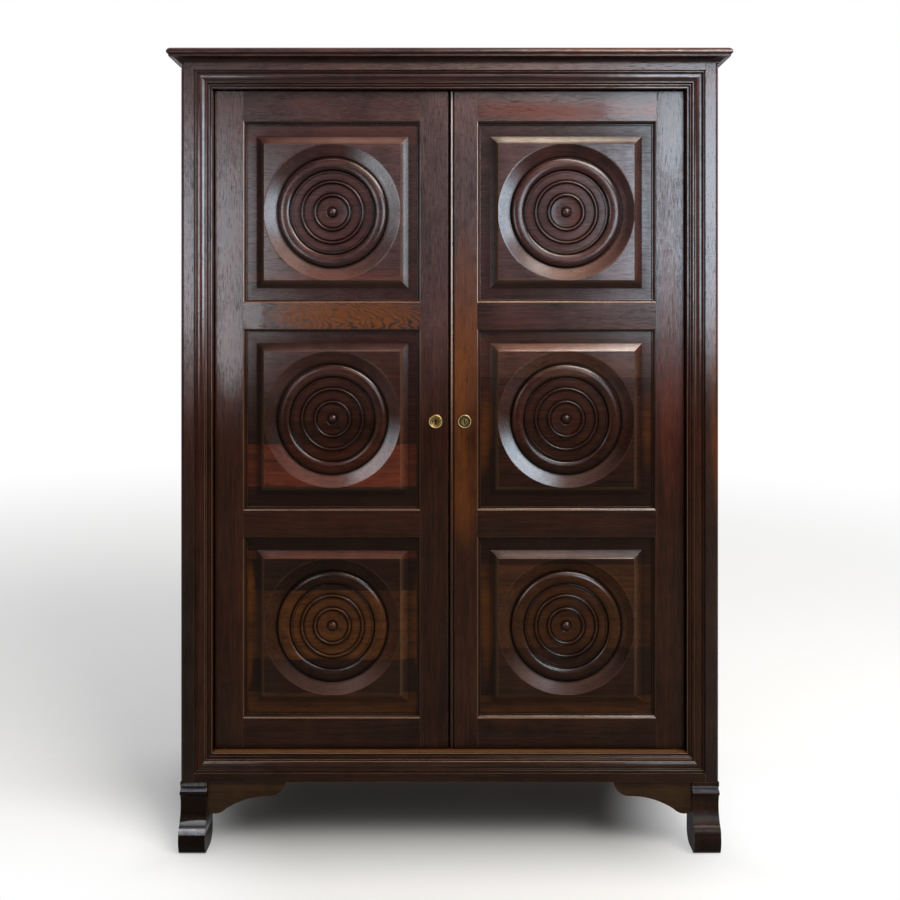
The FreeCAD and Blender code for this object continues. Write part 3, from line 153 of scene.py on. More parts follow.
def turned_depth(radius):
    """Height of the turning over the border, outwards negative, for each radius in millimetres.

    A straight saucer falls from the field to the foot of the large ring, which is half round; a flat inside
    it carries two half-round beads between narrow quirks, then come a hollow bowl and a ball-shaped boss.
    """
    field, ring_middle = -FIELD_RAISE, RING_FOOT - RING_HALF
    flat, bowl = field + FLAT_DEPTH, field + BOWL_DEPTH
    saucer = field + DISH_DEPTH * (DISH_RIM - radius) / (DISH_RIM - RING_FOOT)
    floor = np.where(radius > ring_middle, field + DISH_DEPTH, flat)
    ring = floor - (floor - field - RING_SUNK) * bump_over(radius, ring_middle, RING_HALF) ** 0.9
    depth = np.where(radius > RING_FOOT, saucer, ring)
    inside = radius < ring_middle - RING_HALF
    depth = np.where(inside, flat, depth)
    for middle in BEADS:
        depth = depth - np.where(inside, BEAD_HEIGHT * bump_over(radius, middle, BEAD_HALF), 0)
        for quirk in (middle - QUIRK_REACH, middle + QUIRK_REACH):
            depth = depth + np.where(inside, QUIRK_DEPTH * bump_over(radius, quirk, QUIRK_HALF), 0)
    depth = depth + 0.7 * bump_over(radius, SCRIBED, 1.0)
    for outwards, half, sunk, _ in RING_QUIRKS:
        depth = depth + sunk * bump_over(radius, RING_FOOT + outwards, half)
    hollow = bowl - 0.8 * (radius / BOWL) ** 4 + 0.6 * bump_over(radius, BOSS_QUIRK, BOSS_QUIRK_HALF)
    depth = np.where(radius < BOWL, hollow, depth)
    return np.where(radius < BALL, bowl - BALL_HEIGHT * bump_over(radius, 0, BALL), depth)


def close_set(middle, half_width, steps):
    """Stations over a half-round member, closer together towards its feet."""
    return middle + half_width * np.sin(np.linspace(-math.pi / 2, math.pi / 2, steps))


def capped_rings(stations, turns):
    """Faces of rings of points and of the fans that close them: the first onto a point after all, the last
    onto the next one."""
    count, here = stations * turns, np.arange(turns)
    beside, last = (here + 1) % turns, count - turns
    return (rings_of_quads(stations, turns) + list(zip(beside.tolist(), here.tolist(), [count] * turns))
            + list(zip((last + here).tolist(), (last + beside).tolist(), [count + 1] * turns)))


def panel_surface(centre_x, clear_width, centre_z, dimmed, turns=256):
    """A closed panel: the turning by angle and radius, then its field, bevel, border, edges and back.

    Rings of points: inside the dish a point is its radius times (cosine, sine); at the field's edge and
    beyond, the same ray is carried to a rectangle, whose corner points are those with equal cosine and sine,
    and each rectangle is the field's edge with both coordinates scaled. The height is the turned depth, then
    the bevel. The field's rim and arrises and the boss's tip are lightened, as wear and as a painted
    highlight. Quirks and the bevel's foot are darkened, as dirt and as painted shade in the grooves; the
    bevel at the left and below, and by the share dimmed the right side of the saucer, are darkened as painted
    shade.
    """
    turn = np.arange(turns) * 2 * math.pi / turns
    ray = np.stack([np.cos(turn), np.sin(turn)], -1)
    square = ray / np.abs(ray).max(-1, keepdims=True)
    edge = square * FIELD
    corner = np.linalg.norm(edge, axis=-1)
    rim = np.minimum(DISH_RIM, corner)
    quirks = [middle + side * QUIRK_REACH for middle in BEADS for side in (-1, 1)]

    radii = np.unique(np.round(np.concatenate(
        [BALL * np.sin(np.linspace(0.12, math.pi / 2, 10)), close_set(BOSS_QUIRK, BOSS_QUIRK_HALF, 5),
         np.linspace(15, BOWL - 0.1, 7), close_set(SCRIBED, 1.0, 5), [52, 60, 82],
         close_set(RING_FOOT - RING_HALF, RING_HALF, 27), [RING_FOOT + 0.02]]
        + [close_set(middle, BEAD_HALF, 11) for middle in BEADS]
        + [close_set(quirk, QUIRK_HALF, 7) for quirk in quirks]
        + [close_set(RING_FOOT + outwards, half, steps) for outwards, half, _, steps in RING_QUIRKS]), 3))
    rings = [ray * r for r in radii]
    heights = [np.full(turns, h) for h in turned_depth(radii)]
    start = RING_FOOT + 3.0
    for share in (0.2, 0.5, 0.8, 0.93, 1.0):
        reach = start + share * (rim - start)
        rings.append(ray * reach[:, None])
        heights.append(np.minimum(turned_depth(reach), -FIELD_RAISE + DISH_DEPTH))
    heights[-1] = np.maximum(heights[-1], -FIELD_RAISE)
    dish_stations = len(rings)
    for inset in (0.06, 0.5, 0.97):
        rings.append(ray * (rim + inset * (corner - rim))[:, None])
        heights.append(np.full(turns, -FIELD_RAISE))
    for outset, height in ((0, -FIELD_RAISE), (0.5, -FIELD_RAISE + 0.32), (9, -FIELD_RAISE * 0.5),
                           (BEVEL - 0.8, -0.3), (BEVEL, 0.0), (BEVEL + 0.8, 0.0)):
        rings.append(square * (FIELD + outset))
        heights.append(np.full(turns, height))
    half_size = np.array([clear_width / 2 + TONGUE, OPENING_HEIGHT / 2 + TONGUE])
    for height in (0.0, PANEL_BACK - BORDER_FACE):
        rings.append(square * half_size)
        heights.append(np.full(turns, height))
    rows, heights = np.stack(rings), np.stack(heights)
    boss = BORDER_FACE + float(turned_depth(np.array([0.0]))[0])
    grid = np.stack([rows[..., 0] + centre_x, heights + BORDER_FACE, rows[..., 1] + centre_z], -1)
    points = np.concatenate([
        grid.reshape(-1, 3), [[centre_x, boss, centre_z], [centre_x, PANEL_BACK, centre_z]]])

    stations = len(rows)
    worn, grimy = np.zeros((stations, turns)), np.zeros((stations, turns))
    radius = np.concatenate([radii, np.zeros(stations - len(radii))])[:, None]
    turned = (np.arange(stations) < len(radii))[:, None]
    # dirt and painted shade in the quirks and the scribed line and round the ball and the ring
    darkened_grooves = [(quirk, 1.9) for quirk in quirks] + [
        (SCRIBED, 1.0), (BALL + 0.6, 2.6), (RING_FOOT + 0.6, 3.4), (RING_FOOT - 29.9, 2.6)]
    groove_dirt_and_shade = sum(bump_over(radius, middle, half) for middle, half in darkened_grooves)
    grimy += np.where(turned, np.clip(groove_dirt_and_shade, 0, 1), 0)
    arris = dish_stations + 3
    bevel_foot = arris + 4
    # painted highlight, with wear: the field's rim and arrises lightened
    worn[dish_stations - 1] = 0.3
    worn[arris:arris + 2] = 0.5
    # dirt and painted shade at the bevel's foot
    grimy[bevel_foot - 1:bevel_foot + 2] = np.array([0.6, 1, 0.7])[:, None]
    # painted shade: the bevel at the left and below
    leftward, downward = np.clip(-square.T * 8 - 7, 0, 1)
    grimy[arris + 1:arris + 3] = np.maximum(leftward * 0.9, downward * 0.7)
    # painted shade: the saucer's right side darkened by the share dimmed
    grimy[len(radii) + 1:dish_stations - 1] = np.clip(ray[:, 0], 0, 1) * dimmed
    marks = np.concatenate([np.stack([worn.ravel(), grimy.ravel()], -1), [[1, 0], [0, 0]]])
    return points, faces_outward(points, capped_rings(stations, turns)), marks


def arc_points(start, end, radius, steps=7):
    """Points of the arc from start to end.

    Its centre lies square to the chord from its middle, on the left for a positive radius.
    """
    start, end = np.array(start, float), np.array(end, float)
    chord = end - start
    half = np.linalg.norm(chord) / 2
    square = np.array([-chord[1], chord[0]]) / (2 * half)
    rise = math.sqrt(max(radius * radius - half * half, 0))
    centre = (start + end) / 2 + math.copysign(1, radius) * square * rise
    low, high = start - centre, end - centre
    first = math.atan2(low[1], low[0])
    sweep = (math.atan2(high[1], high[0]) - first + math.pi) % (2 * math.pi) - math.pi
    angles = first + sweep * np.arange(1, steps + 1) / steps
    return centre + abs(radius) * np.stack([np.cos(angles), np.sin(angles)], -1)


def eased_profile(corners, ease=0.45):
    """A closed profile with its arcs drawn and its arrises eased; also its marks of wear with a painted
    highlight and of dirt with painted shade.

    Each corner that turns more than 25 degrees becomes five points, on both sides of it, the middle one drawn
    in; an outward corner is marked as wear with a painted highlight, and an inward one as dirt with painted
    shade.
    """
    points = [np.array([corners[0][:2]], float)]
    for corner in corners[1:]:
        if len(corner) == 3:
            points.append(arc_points(points[-1][-1], corner[:2], corner[2]))
        else:
            points.append(np.array([corner], float))
    line = np.concatenate(points)
    before, after = np.roll(line, 1, 0) - line, np.roll(line, -1, 0) - line
    room = np.minimum(np.linalg.norm(before, axis=1), np.linalg.norm(after, axis=1))
    before /= np.linalg.norm(before, axis=1, keepdims=True)
    after /= np.linalg.norm(after, axis=1, keepdims=True)
    cross = -before[:, 0] * after[:, 1] + before[:, 1] * after[:, 0]
    turning = np.degrees(np.arctan2(cross, -(before * after).sum(1)))
    area = (line[:, 0] * np.roll(line[:, 1], -1) - line[:, 1] * np.roll(line[:, 0], -1)).sum()
    outward = turning * math.copysign(1, area) > 0
    sharp = np.abs(turning) > 25
    near = np.minimum(ease, room * 0.42)[:, None]
    far = np.minimum(2.2 * ease, 0.46 * room)[:, None]
    five = np.stack([
        line + before * far, line + before * near, line + (before + after) * near * 0.24,
        line + after * near, line + after * far], 1)
    mark = np.array([0, 1, 1, 1, 0])[None, :] * np.clip(np.abs(turning) / 70, 0, 1)[:, None]
    kept = np.where(sharp[:, None], True, np.array([False, False, True, False, False])[None, :])
    five[~sharp, 2] = line[~sharp]
    worn = np.where((sharp & outward)[:, None], mark, 0)
    grimy = np.where((sharp & ~outward)[:, None], mark, 0)
    return five[kept], worn[kept], grimy[kept]


def mitred_surface(profile, length, turn, origin):
    """A strip with both ends mitred inwards and flat.

    A profile point (depth, inwards) runs along X for the length less its distance inwards at each end, then
    the strip is turned about Y and carried to its origin.
    """
    line, worn, grimy = profile
    along = np.array([[-1], [1]]) * (length / 2 - line[:, 1])
    depth = np.broadcast_to(line[:, 0], along.shape)
    inwards = np.broadcast_to(line[:, 1], along.shape)
    c, s = math.cos(math.radians(turn)), math.sin(math.radians(turn))
    grid = np.stack([along * c + inwards * s + origin[0], depth + origin[1],
                     inwards * c - along * s + origin[2]], -1)
    count = len(line)
    faces = rings_of_quads(2, count)
    fans = [(0, i + 1, i) for i in range(1, count - 1)] + [(count, count + i, count + i + 1)
                                                           for i in range(1, count - 1)]
    points = grid.reshape(-1, 3)
    sides = faces_outward(points, faces + fans)[:len(faces)]
    near, far = tuple(range(count)), tuple(range(count, 2 * count))
    ends = [near, far[::-1]] if sides[0] != faces[0] else [near[::-1], far]
    return points, sides + ends, np.stack([np.tile(worn, 2), np.tile(grimy, 2)], -1)


def turned_surface(profile, centre, turns=64, lobes=0, lobe_depth=0.0):
    """A ring turned about Y from a profile that is a closed loop.

    Each profile point (radius, depth) goes round the centre, and its radius swells and sinks by the lobe
    depth as many times as there are lobes.
    """
    line, worn, grimy = profile
    turn = np.arange(turns)[:, None] * 2 * math.pi / turns
    outward = np.clip((line[:, 0] - line[:, 0].min()) / (np.ptp(line[:, 0]) + 1e-9), 0, 1)
    radius = line[:, 0] * (1 + lobe_depth * np.cos(lobes * turn) * outward)
    points = np.stack([
        centre[0] + radius * np.cos(turn), centre[1] + np.broadcast_to(line[:, 1], radius.shape),
        centre[2] + radius * np.sin(turn)], -1).reshape(-1, 3)
    marks = np.stack([np.tile(worn, turns), np.tile(grimy, turns)], -1)
    return points, faces_outward(points, rings_of_quads(turns, len(line), closed=True)), marks


# --- shader arithmetic ---

class Value:
    """A number that varies over a surface: it wraps a socket, and arithmetic on it adds Math nodes."""

    def __init__(self, finish, socket):
        self.finish, self.socket = finish, socket

    def math(self, operation, *others, swap=False):
        operands = [self, *others]
        if swap:
            operands.reverse()
        made = self.finish.node("ShaderNodeMath", {"operation": operation}, dict(enumerate(operands)))
        return Value(self.finish, made.outputs[0])

    def __add__(self, other):
        return self.math("ADD", other)

    __radd__ = __add__

    def __sub__(self, other):
        return self.math("SUBTRACT", other)

    def __rsub__(self, other):
        return self.math("SUBTRACT", other, swap=True)

    def __mul__(self, other):
        return self.math("MULTIPLY", other)

    __rmul__ = __mul__

    def __truediv__(self, other):
        return self.math("DIVIDE", other)

    def __pow__(self, other):
        return self.math("POWER", other)

    def at_least(self, other):
        return self.math("MAXIMUM", other)

    def at_most(self, other):
        return self.math("MINIMUM", other)

    def held(self):
        """Kept between 0 and 1."""
        return self.at_least(0.0).at_most(1.0)

    def between(self, low, high):
        """0 at low, 1 at high, eased in between."""
        made = self.finish.node("ShaderNodeMapRange", {"interpolation_type": "SMOOTHSTEP"}, {
            "Value": self, "From Min": low, "From Max": high})
        return Value(self.finish, made.outputs[0])


class Finish:
    """The nodes of one finish, for a material or the world."""

    def __init__(self, tree):
        self.tree = tree
        self.tree.nodes.clear()
        self.place = None

    def node(self, kind, settings=None, sockets=None):
        """A node: its settings first, then a value or a link for each named socket."""
        made = self.tree.nodes.new(kind)
        for setting, value in (settings or {}).items():
            if setting == "stops":
                ramp = made.color_ramp
                while len(ramp.elements) < len(value):
                    ramp.elements.new(1.0)
                for element, (position, colour) in zip(ramp.elements, value):
                    element.position, element.color = position, colour
            else:
                setattr(made, setting, value)
        for socket, value in (sockets or {}).items():
            if isinstance(value, Value):
                self.tree.links.new(value.socket, made.inputs[socket])
            elif isinstance(value, bpy.types.NodeSocket):
                self.tree.links.new(value, made.inputs[socket])
            else:
                made.inputs[socket].default_value = value
        return made

    def coordinates(self):
        """Where a point of the press is, in metres; fronts is 1 from the panels' backs forward, 0 behind."""
        if self.place is None:
            self.place = self.node("ShaderNodeTexCoord").outputs["Object"]
            parts = self.node("ShaderNodeSeparateXYZ", None, {0: self.place})
            self.x, self.y, self.z = (Value(self, parts.outputs[i]) for i in range(3))
            self.fronts = (0 - self.y).between(*FRONTS)
        return self.place

    def mottle(self, scale, detail=2.0, stretch=(1, 1, 1), shift=(0, 0, 0), roughness=0.5, distortion=0.0):
        """Noise from 0 to 1 over the press, stretched by the given scales."""
        spread = self.node("ShaderNodeMapping", None, {
            "Vector": self.coordinates(), "Location": shift, "Scale": stretch})
        made = self.node("ShaderNodeTexNoise", None, {
            "Vector": spread.outputs[0], "Scale": scale, "Detail": detail, "Roughness": roughness,
            "Distortion": distortion})
        return Value(self, made.outputs[0])

    def colours(self, amount, stops):
        """A colour for each amount, from (position, colour) stops."""
        made = self.node("ShaderNodeValToRGB", {"stops": stops}, {0: amount})
        return made.outputs[0]

    def blend(self, amount, first, second):
        made = self.node("ShaderNodeMix", {"data_type": "RGBA"}, {0: amount, 6: first, 7: second})
        return made.outputs[2]

    def scaled(self, colour, amount):
        """A colour times a number."""
        made = self.node("ShaderNodeVectorMath", {"operation": "SCALE"}, {0: colour, "Scale": amount})
        return made.outputs[0]

    def facing(self):
        """The direction that the surface faces."""
        return self.node("ShaderNodeNewGeometry").outputs["Normal"]

    def surface(self, sockets):
        """The Principled shader that the material ends in."""
        shader = self.node("ShaderNodeBsdfPrincipled", None, sockets)
        self.node("ShaderNodeOutputMaterial", None, {"Surface": shader.outputs[0]})

    def mark(self, name):
        """One of the marks that the surfaces carry."""
        made = self.node("ShaderNodeAttribute", {"attribute_name": name})
        return Value(self, made.outputs["Fac"])


def new_finish(name):
    """A new material, and the finish that is to fill it."""
    material = bpy.data.materials.new(name)
    material.use_nodes = True
    return material, Finish(material.node_tree)


def rays_seen(finish):
    """1 for what the eye sees, and 1 for what is seen in gloss or through glass."""
    rays = finish.node("ShaderNodeLightPath").outputs
    glossy, through = Value(finish, rays["Is Glossy Ray"]), Value(finish, rays["Is Transmission Ray"])
    return Value(finish, rays["Is Camera Ray"]), glossy.at_least(through)


def tint(red, green, blue):
    """A paint colour given as 0 to 255, as light."""
    channels = [c / 255 for c in (red, green, blue)]
    return tuple(c / 12.92 if c <= 0.04045 else ((c + 0.055) / 1.055) ** 2.4 for c in channels) + (1.0,)


# --- finishes ---

PORE = tint(16, 8, 6)
AMBER = tint(106, 58, 23)
RUSSET = tint(98, 44, 32)
# arrises lightened as wear and as a painted highlight
RUBBED_AND_HIGHLIT = tint(150, 116, 88)
UMBER = tint(62, 42, 24)
RED_AMBER = tint(98, 46, 31)
BROWN_AMBER = tint(92, 54, 25)
OLIVE = tint(74, 54, 28)
SORREL = tint(88, 56, 42)
BY_HEIGHT = [  # colour from the foot, at 0, to the top board, at 1: the stain, darkened towards the foot as painted shade and turned mauve-grey towards the top as a painted haze of reflection
    (0.00, tint(26, 12, 7)), (0.25, tint(40, 17, 8)), (0.50, tint(42, 18, 10)), (0.64, tint(56, 26, 18)),
    (0.80, tint(54, 30, 28)), (1.00, tint(50, 28, 28))]
# the posts' colours by height, darker still towards the foot, more painted shade
POSTS_BY_HEIGHT = [(0.00, tint(16, 9, 7)), (0.25, tint(24, 12, 9)), (0.50, tint(36, 17, 11))] + BY_HEIGHT[3:]
DUST = tint(124, 88, 76)
SETTLED_DUST = tint(88, 74, 66)
# dirt, and painted shade in grooves, corners and faces turned from the light
OAK_GRIME_AND_SHADE = tint(9, 5, 4)
# painted shade in creases
CREASE_SHADE = tint(10, 5, 4)
# a painted highlight, near white
HIGHLIGHT_LINE = tint(222, 212, 208)
PRESS_HEIGHT = 1.815
FRONTS = (0.187, 0.190)  # metres towards the front, between the panels' backs and their borders
SLOPING = (0.06, 0.24)  # how far a face is turned up or down where that begins to tell, and tells in full
DULL_BRASS = tint(70, 50, 30)
# dirt on brass, and painted shade in keyholes, slots and round a disc's rim
BRASS_GRIME_AND_SHADE = tint(20, 13, 8)
RUBBED_BRASS = tint(214, 190, 136)
DRY_PORE = tint(42, 26, 17)
DRY_TONES = [(0.2, tint(66, 43, 28)), (0.5, tint(112, 78, 50)), (0.85, tint(150, 112, 76))]
ALONG = {"x": (0.045, 4, 1), "y": (4, 0.045, 1), "z": (1, 4, 0.045)}
WAVY = {"x": (0.11, 5, 1), "y": (5, 0.11, 1), "z": (1, 5, 0.11)}
ACROSS = {"x": (1, 0.2, 0.14), "y": (0.14, 1, 0.2), "z": (0.14, 0.2, 1)}


def spots(finish, places, wobble):
    """The sum of soft-edged ellipses (x, z, half width, half height, strength) on the front of the press."""
    total = None
    for x, z, wide, tall, strength in places:
        across = (finish.x + wobble * 0.05 - (x * MM + 0.025)) / (wide * MM)
        up = (finish.z + wobble * 0.07 - (z * MM + 0.035)) / (tall * MM)
        one = (1 - (across * across + up * up)).held() * strength
        total = one if total is None else total + one
    return total * finish.fronts


def polished_oak(name, along="z", light=1.0, heights=BY_HEIGHT, ambers_and_highlights=(), russets=(), glows=(), seams=(),
                 boards=(), spread=(1, 1), shines=(), line=None, marked=False, gloss=(0.04, 0.95),
                 figure=0.35, peaks=None, edge=0.35, coat=0.25, upper=0.8, centre=None, settled=0.0,
                 shift=0.0):
    """Dark oak under old polish: streaks and pores along the grain, ripple across it, haze where it is thick.

    ambers and russets are spots where the stain has thinned to those colours, and glows spots where the
    polish shines; the amber spots on the top board's nose, the sill's top and the right post's edge are
    painted highlights. seams are the levels at which one board of a glued panel ends, with the tone of the
    next; boards are the levels between which one is of a colour by some share, and on the feet and the sill
    those bands are painted highlights, on the sill with wear; spread is how much of that shows on the field
    and in the turning. line is a bead (x, half width) lightened along its crest, a painted highlight, and
    peaks the level on which the arches of a flat-sawn board are centred. Round a centre (x, z) the wood is
    turned: its dish shines by the clock and holds dust below, and the flats inside show the gouge. gloss is
    the polish low down and high up, and upper that of faces turned up; faces turned down have less, and are
    darker, a painted shade. settled dulls level tops with dust, edge is how far the arrises are lightened, as
    wear and as a painted highlight, and shift moves the grain.
    """
    material, finish = new_finish(name)
    finish.coordinates()
    run = ALONG[along]
    bend = finish.mottle(2.1, 1.0, (1, 1, 0.5) if along == "z" else (0.5, 1, 1), (shift, 0, shift))
    streak = finish.mottle(42, 4.0, run, (shift, 0.3, shift * 0.7), 0.6, 0.6)
    fine = finish.mottle(210, 3.0, run, (0.4, shift, 0.1), 0.65, 0.3)
    hair = finish.mottle(430, 2.0, WAVY[along], (0.7, shift, 0.2), 0.6, 0.5)
    pores = finish.mottle(820, 2.0, run, (shift, 0, 0.8), 0.5).between(0.56, 0.70)
    ripple = finish.mottle(360, 3.0, ACROSS[along], (0.2, 0, shift), 0.6, 0.4)
    cloud = finish.mottle(7, 3.0, (1, 1, 0.6), (0.1, shift, 0.4), 0.55)
    blotch = finish.mottle(26, 3.0, (1, 1, 1), (shift, 0, 0.5), 0.6)
    level = finish.z / PRESS_HEIGHT
    height = finish.z + bend * 0.004

    wood = finish.colours((level + (cloud - 0.5) * 0.16).held(), heights)
    if peaks is None:
        arches = ((finish.x if along == "z" else finish.z) * 34 + bend * 16).math("SINE") * 0.5 + 0.5
    else:
        off = finish.z - peaks * MM + bend * 0.02
        drift = finish.mottle(11, 3.0, (0.7, 1, 1.4), (shift, 0, 0), 0.6)
        arches = ((finish.x + drift * 0.16 + off * off * 40 + streak * 0.012) * 330).math("SINE") * 0.5 + 0.5
        arches = arches.between(0.0, 0.6)
    contrast = ((streak - 0.5) * 2.0 + (fine - 0.5) * 2.7 + (blotch - 0.5) * 1.1
                + (arches - 0.5) * (figure * 0.8))
    brightness = ((contrast + 1.0) * light).at_least(0.15)
    for seam, change in seams:
        brightness = brightness * (height.between(seam * MM, seam * MM + 0.0015) * change + 1.0)
    aspect = Value(finish, finish.node("ShaderNodeSeparateXYZ", None, {0: finish.facing()}).outputs[2])
    down = (0 - aspect).between(*SLOPING)
    # painted shade: faces turned down are darker
    wood = finish.scaled(wood, brightness * (1 - down * 0.4))
    reddish = (cloud - 0.42).held() * (streak + 0.5) * min(light, 1.0)
    wood = finish.blend(reddish * level.between(0.4, 0.7), wood, RUSSET)
    wood = finish.blend(reddish * (0.8 - level.between(0.35, 0.6) * 0.8), wood, UMBER)

    polish = level.between(0.50, 0.74) * (gloss[1] - gloss[0]) + gloss[0]
    facing_up = aspect.between(*SLOPING) * upper
    shown = 1.0
    if centre is not None:
        across, up = finish.x - centre[0] * MM, finish.z - centre[1] * MM
        radius = (across * across + up * up) ** 0.5
        fielded = 1 - across.math("ABSOLUTE").at_least(up.math("ABSOLUTE")).between(0.157, 0.160)
        in_ring = 1 - radius.between(0.125, 0.130)
        shown = 1 - (fielded - in_ring) * (1 - spread[0]) - in_ring * (1 - spread[1])
        dish = radius.between(0.1275, 0.129) * (1 - radius.between(0.158, 0.159))
        facing_up = facing_up * (1 - dish * 0.6)
    for low, high, colour, share in boards:
        low, high = low * MM, high * MM
        within = height.between(low, low + 0.002) * (1 - height.between(high - 0.002, high))
        mixed = streak * 2.2 + fine * 1.6 + blotch - 1.4
        wood = finish.blend((within * finish.fronts * shown * mixed * share).held(), wood, colour)
    polish = polish.at_least(facing_up) * (1 - down * 0.85)
    if centre is not None:
        in_flank = radius.between(0.098, 0.102) * (1 - radius.between(0.1255, 0.1275))
        polish = polish * (1 - in_flank * 0.35)
        for clock, strength in shines:
            turn = math.radians(30 * clock)
            toward = (across * math.sin(turn) + up * math.cos(turn)) / radius
            polish = polish.at_least(dish * finish.fronts * toward.between(0.55, 0.95) * strength)
        polish = polish * (1 - (1 - radius.between(0.09, 0.1)) * finish.fronts * 0.5)
        gouge = ((radius * 2300 + cloud * 3).math("SINE") + (radius * 3700).math("SINE")) * 0.25
        polish = polish * (gouge * (1 - radius.between(0.094, 0.097)) * finish.fronts * 0.7 + 1.0)
        below = (0 - up / radius).between(0.35, 0.95)
        dust = dish * finish.fronts * below * (cloud * 1.6 + 0.1 + (hair - 0.5))
        wood = finish.blend((dust * 0.3).held(), wood, DUST)
    polish = polish * (cloud * 0.9 + blotch * 0.7 + 0.2)
    if settled:
        dusty = aspect.between(0.8, 0.98) * settled
        polish = polish * (1 - dusty)
        wood = finish.blend(dusty * (cloud * 0.5 + blotch * 0.3), wood, SETTLED_DUST)
    for places, colour in ((ambers_and_highlights, AMBER), (russets, RUSSET)):
        if places:
            figured = streak * 1.5 + (cloud - 0.5) * 1.8 + (blotch - 0.5) + (arches - 0.5) * figure
            worn_through = (spots(finish, places, bend) * figured).held()
            wood = finish.blend(worn_through, wood, colour)
            polish = polish * (1 - worn_through * 0.6)
    wood = finish.blend(pores * 0.75, wood, PORE)
    if glows:
        polish = polish + spots(finish, glows, bend)
    grain = 1.3 if marked else 2.2
    patchy = 0.85 + (hair - 0.5) * grain + (ripple - 0.5) * (grain * 0.4) - pores * 0.4
    polish = polish * patchy.at_least(0.08)

    relief = {"Strength": 0.4, "Distance": 0.0005 if marked else 0.0009,
              "Height": ripple * 0.6 + fine * 0.3 - pores * 0.3}
    if marked:
        worn = (finish.mark("worn") * (fine * 1.2 + 0.4)).held()
        # dirt and painted shade from the mark
        dirt_and_shade_mask = finish.mark("grimy")
        wood = finish.blend(dirt_and_shade_mask * 0.85, wood, OAK_GRIME_AND_SHADE)
        polish = polish * (1 - dirt_and_shade_mask * 0.8)
    else:
        eased = finish.node("ShaderNodeBevel", {"samples": 4}, {"Radius": 0.0011}).outputs[0]
        relief["Normal"] = eased
        same = finish.node("ShaderNodeVectorMath", {"operation": "DOT_PRODUCT"}, {
            0: eased, 1: finish.facing()})
        worn = ((1 - Value(finish, same.outputs["Value"])).between(0.01, 0.16) * (fine * 1.2 + 0.3)).held()
    # painted shade: creases and hollows darkened by ambient occlusion
    hollow = finish.node("ShaderNodeAmbientOcclusion", {"samples": 6}, {"Distance": 0.011})
    crease = (1 - Value(finish, hollow.outputs["AO"])).between(0.12, 0.75) * 0.8
    wood = finish.blend(crease, wood, CREASE_SHADE)
    polish = polish * (1 - crease * 0.5)
    # painted highlight: arrises lightened by the wear mark, as wear and as the light they catch
    wood = finish.blend(worn * edge, wood, RUBBED_AND_HIGHLIT)
    # painted highlight: a pale line along the meeting bead's crest, stronger higher up
    if line is not None:
        bead = (1 - ((finish.x - line[0] * MM) / (line[1] * MM)).math("ABSOLUTE")).held()
        highlight_share = bead * finish.fronts * (level.between(0.45, 0.75) * 0.85 + 0.03) * (fine + 0.5)
        wood = finish.blend(highlight_share, wood, HIGHLIGHT_LINE)
    finish.surface({
        "Base Color": wood, "Roughness": (0.26 + (fine - 0.5) * 0.24 + pores * 0.2).held(),
        "Coat Weight": polish.held(), "Coat Roughness": coat, "Coat IOR": 1.75, "Specular IOR Level": 0.08,
        "Specular Tint": (1.0, 0.68, 0.5, 1.0),
        "Normal": finish.node("ShaderNodeBump", None, relief).outputs[0]})
    return material


def old_brass(name, tones, dulled):
    """Brass gone brown in its hollows, brighter where fingers and keys wear it, dark with dirt and, in
    keyholes, slots and round a disc's rim, with painted shade.
    """
    material, finish = new_finish(name)
    patina = finish.mottle(260, 4.0, (1, 1, 1), (0, 0, 0), 0.6)
    dull = finish.mottle(60, 2.0).between(0.35, 0.7)
    dirt_and_shade_mask = finish.mark("grimy")
    colour = finish.colours(patina, list(zip((0.3, 0.55, 0.75), tones)))
    colour = finish.blend(dull * dulled, colour, DULL_BRASS)
    colour = finish.blend(dirt_and_shade_mask * 0.92, colour, BRASS_GRIME_AND_SHADE)
    colour = finish.blend(finish.mark("worn") * 0.7, colour, RUBBED_BRASS)
    bump = finish.node("ShaderNodeBump", None, {"Strength": 0.25, "Distance": 0.0003, "Height": patina})
    finish.surface({
        "Base Color": colour, "Metallic": 1.0, "Roughness": (dull * 0.2 + 0.24 + dirt_and_shade_mask * 0.3).held(),
        "Normal": bump.outputs[0]})
    return material


def dry_oak(name, along, light=1.0, pitch=None):
    """Unpolished oak of the inside and back: dusty brown, pores open; boards at a pitch differ in tone."""
    material, finish = new_finish(name)
    run = ALONG[along]
    streak = finish.mottle(38, 4.0, run, (0.3, 0.2, 0), 0.6, 0.5)
    fine = finish.mottle(180, 3.0, run, (0, 0.6, 0.2), 0.65)
    pores = finish.mottle(520, 2.0, run, (0.2, 0, 0.1)).between(0.56, 0.70)
    cloud = finish.mottle(6, 3.0)
    wood = finish.colours((streak * 0.75 + (fine - 0.5) * 0.5 + (cloud - 0.5) * 0.5 + 0.12).held(), DRY_TONES)
    tone = cloud * 0.2 + (light - 0.1)
    if pitch is not None:
        board = finish.x / (pitch * MM)
        tone = tone * ((board.math("FLOOR") * 12.99).math("SINE") * 0.16 + 1.0)
        joint = (board.math("FRACT") - 0.5).math("ABSOLUTE").between(0.486, 0.498)
        tone = tone * (1 - joint * 0.75)
    wood = finish.blend(pores * 0.7, finish.scaled(wood, tone), DRY_PORE)
    bump = finish.node("ShaderNodeBump", None, {
        "Strength": 0.35, "Distance": 0.0012, "Height": fine * 0.6 + streak * 0.4 - pores * 0.5})
    finish.surface({"Base Color": wood, "Roughness": (fine * 0.2 + 0.6).held(), "Specular IOR Level": 0.3,
                    "Normal": bump.outputs[0]})
    return material


def dress(finish, *names):
    """Gives the named nodes their finish."""
    for name in names:
        for slot in NODES[name].material_slots:
            slot.material = finish


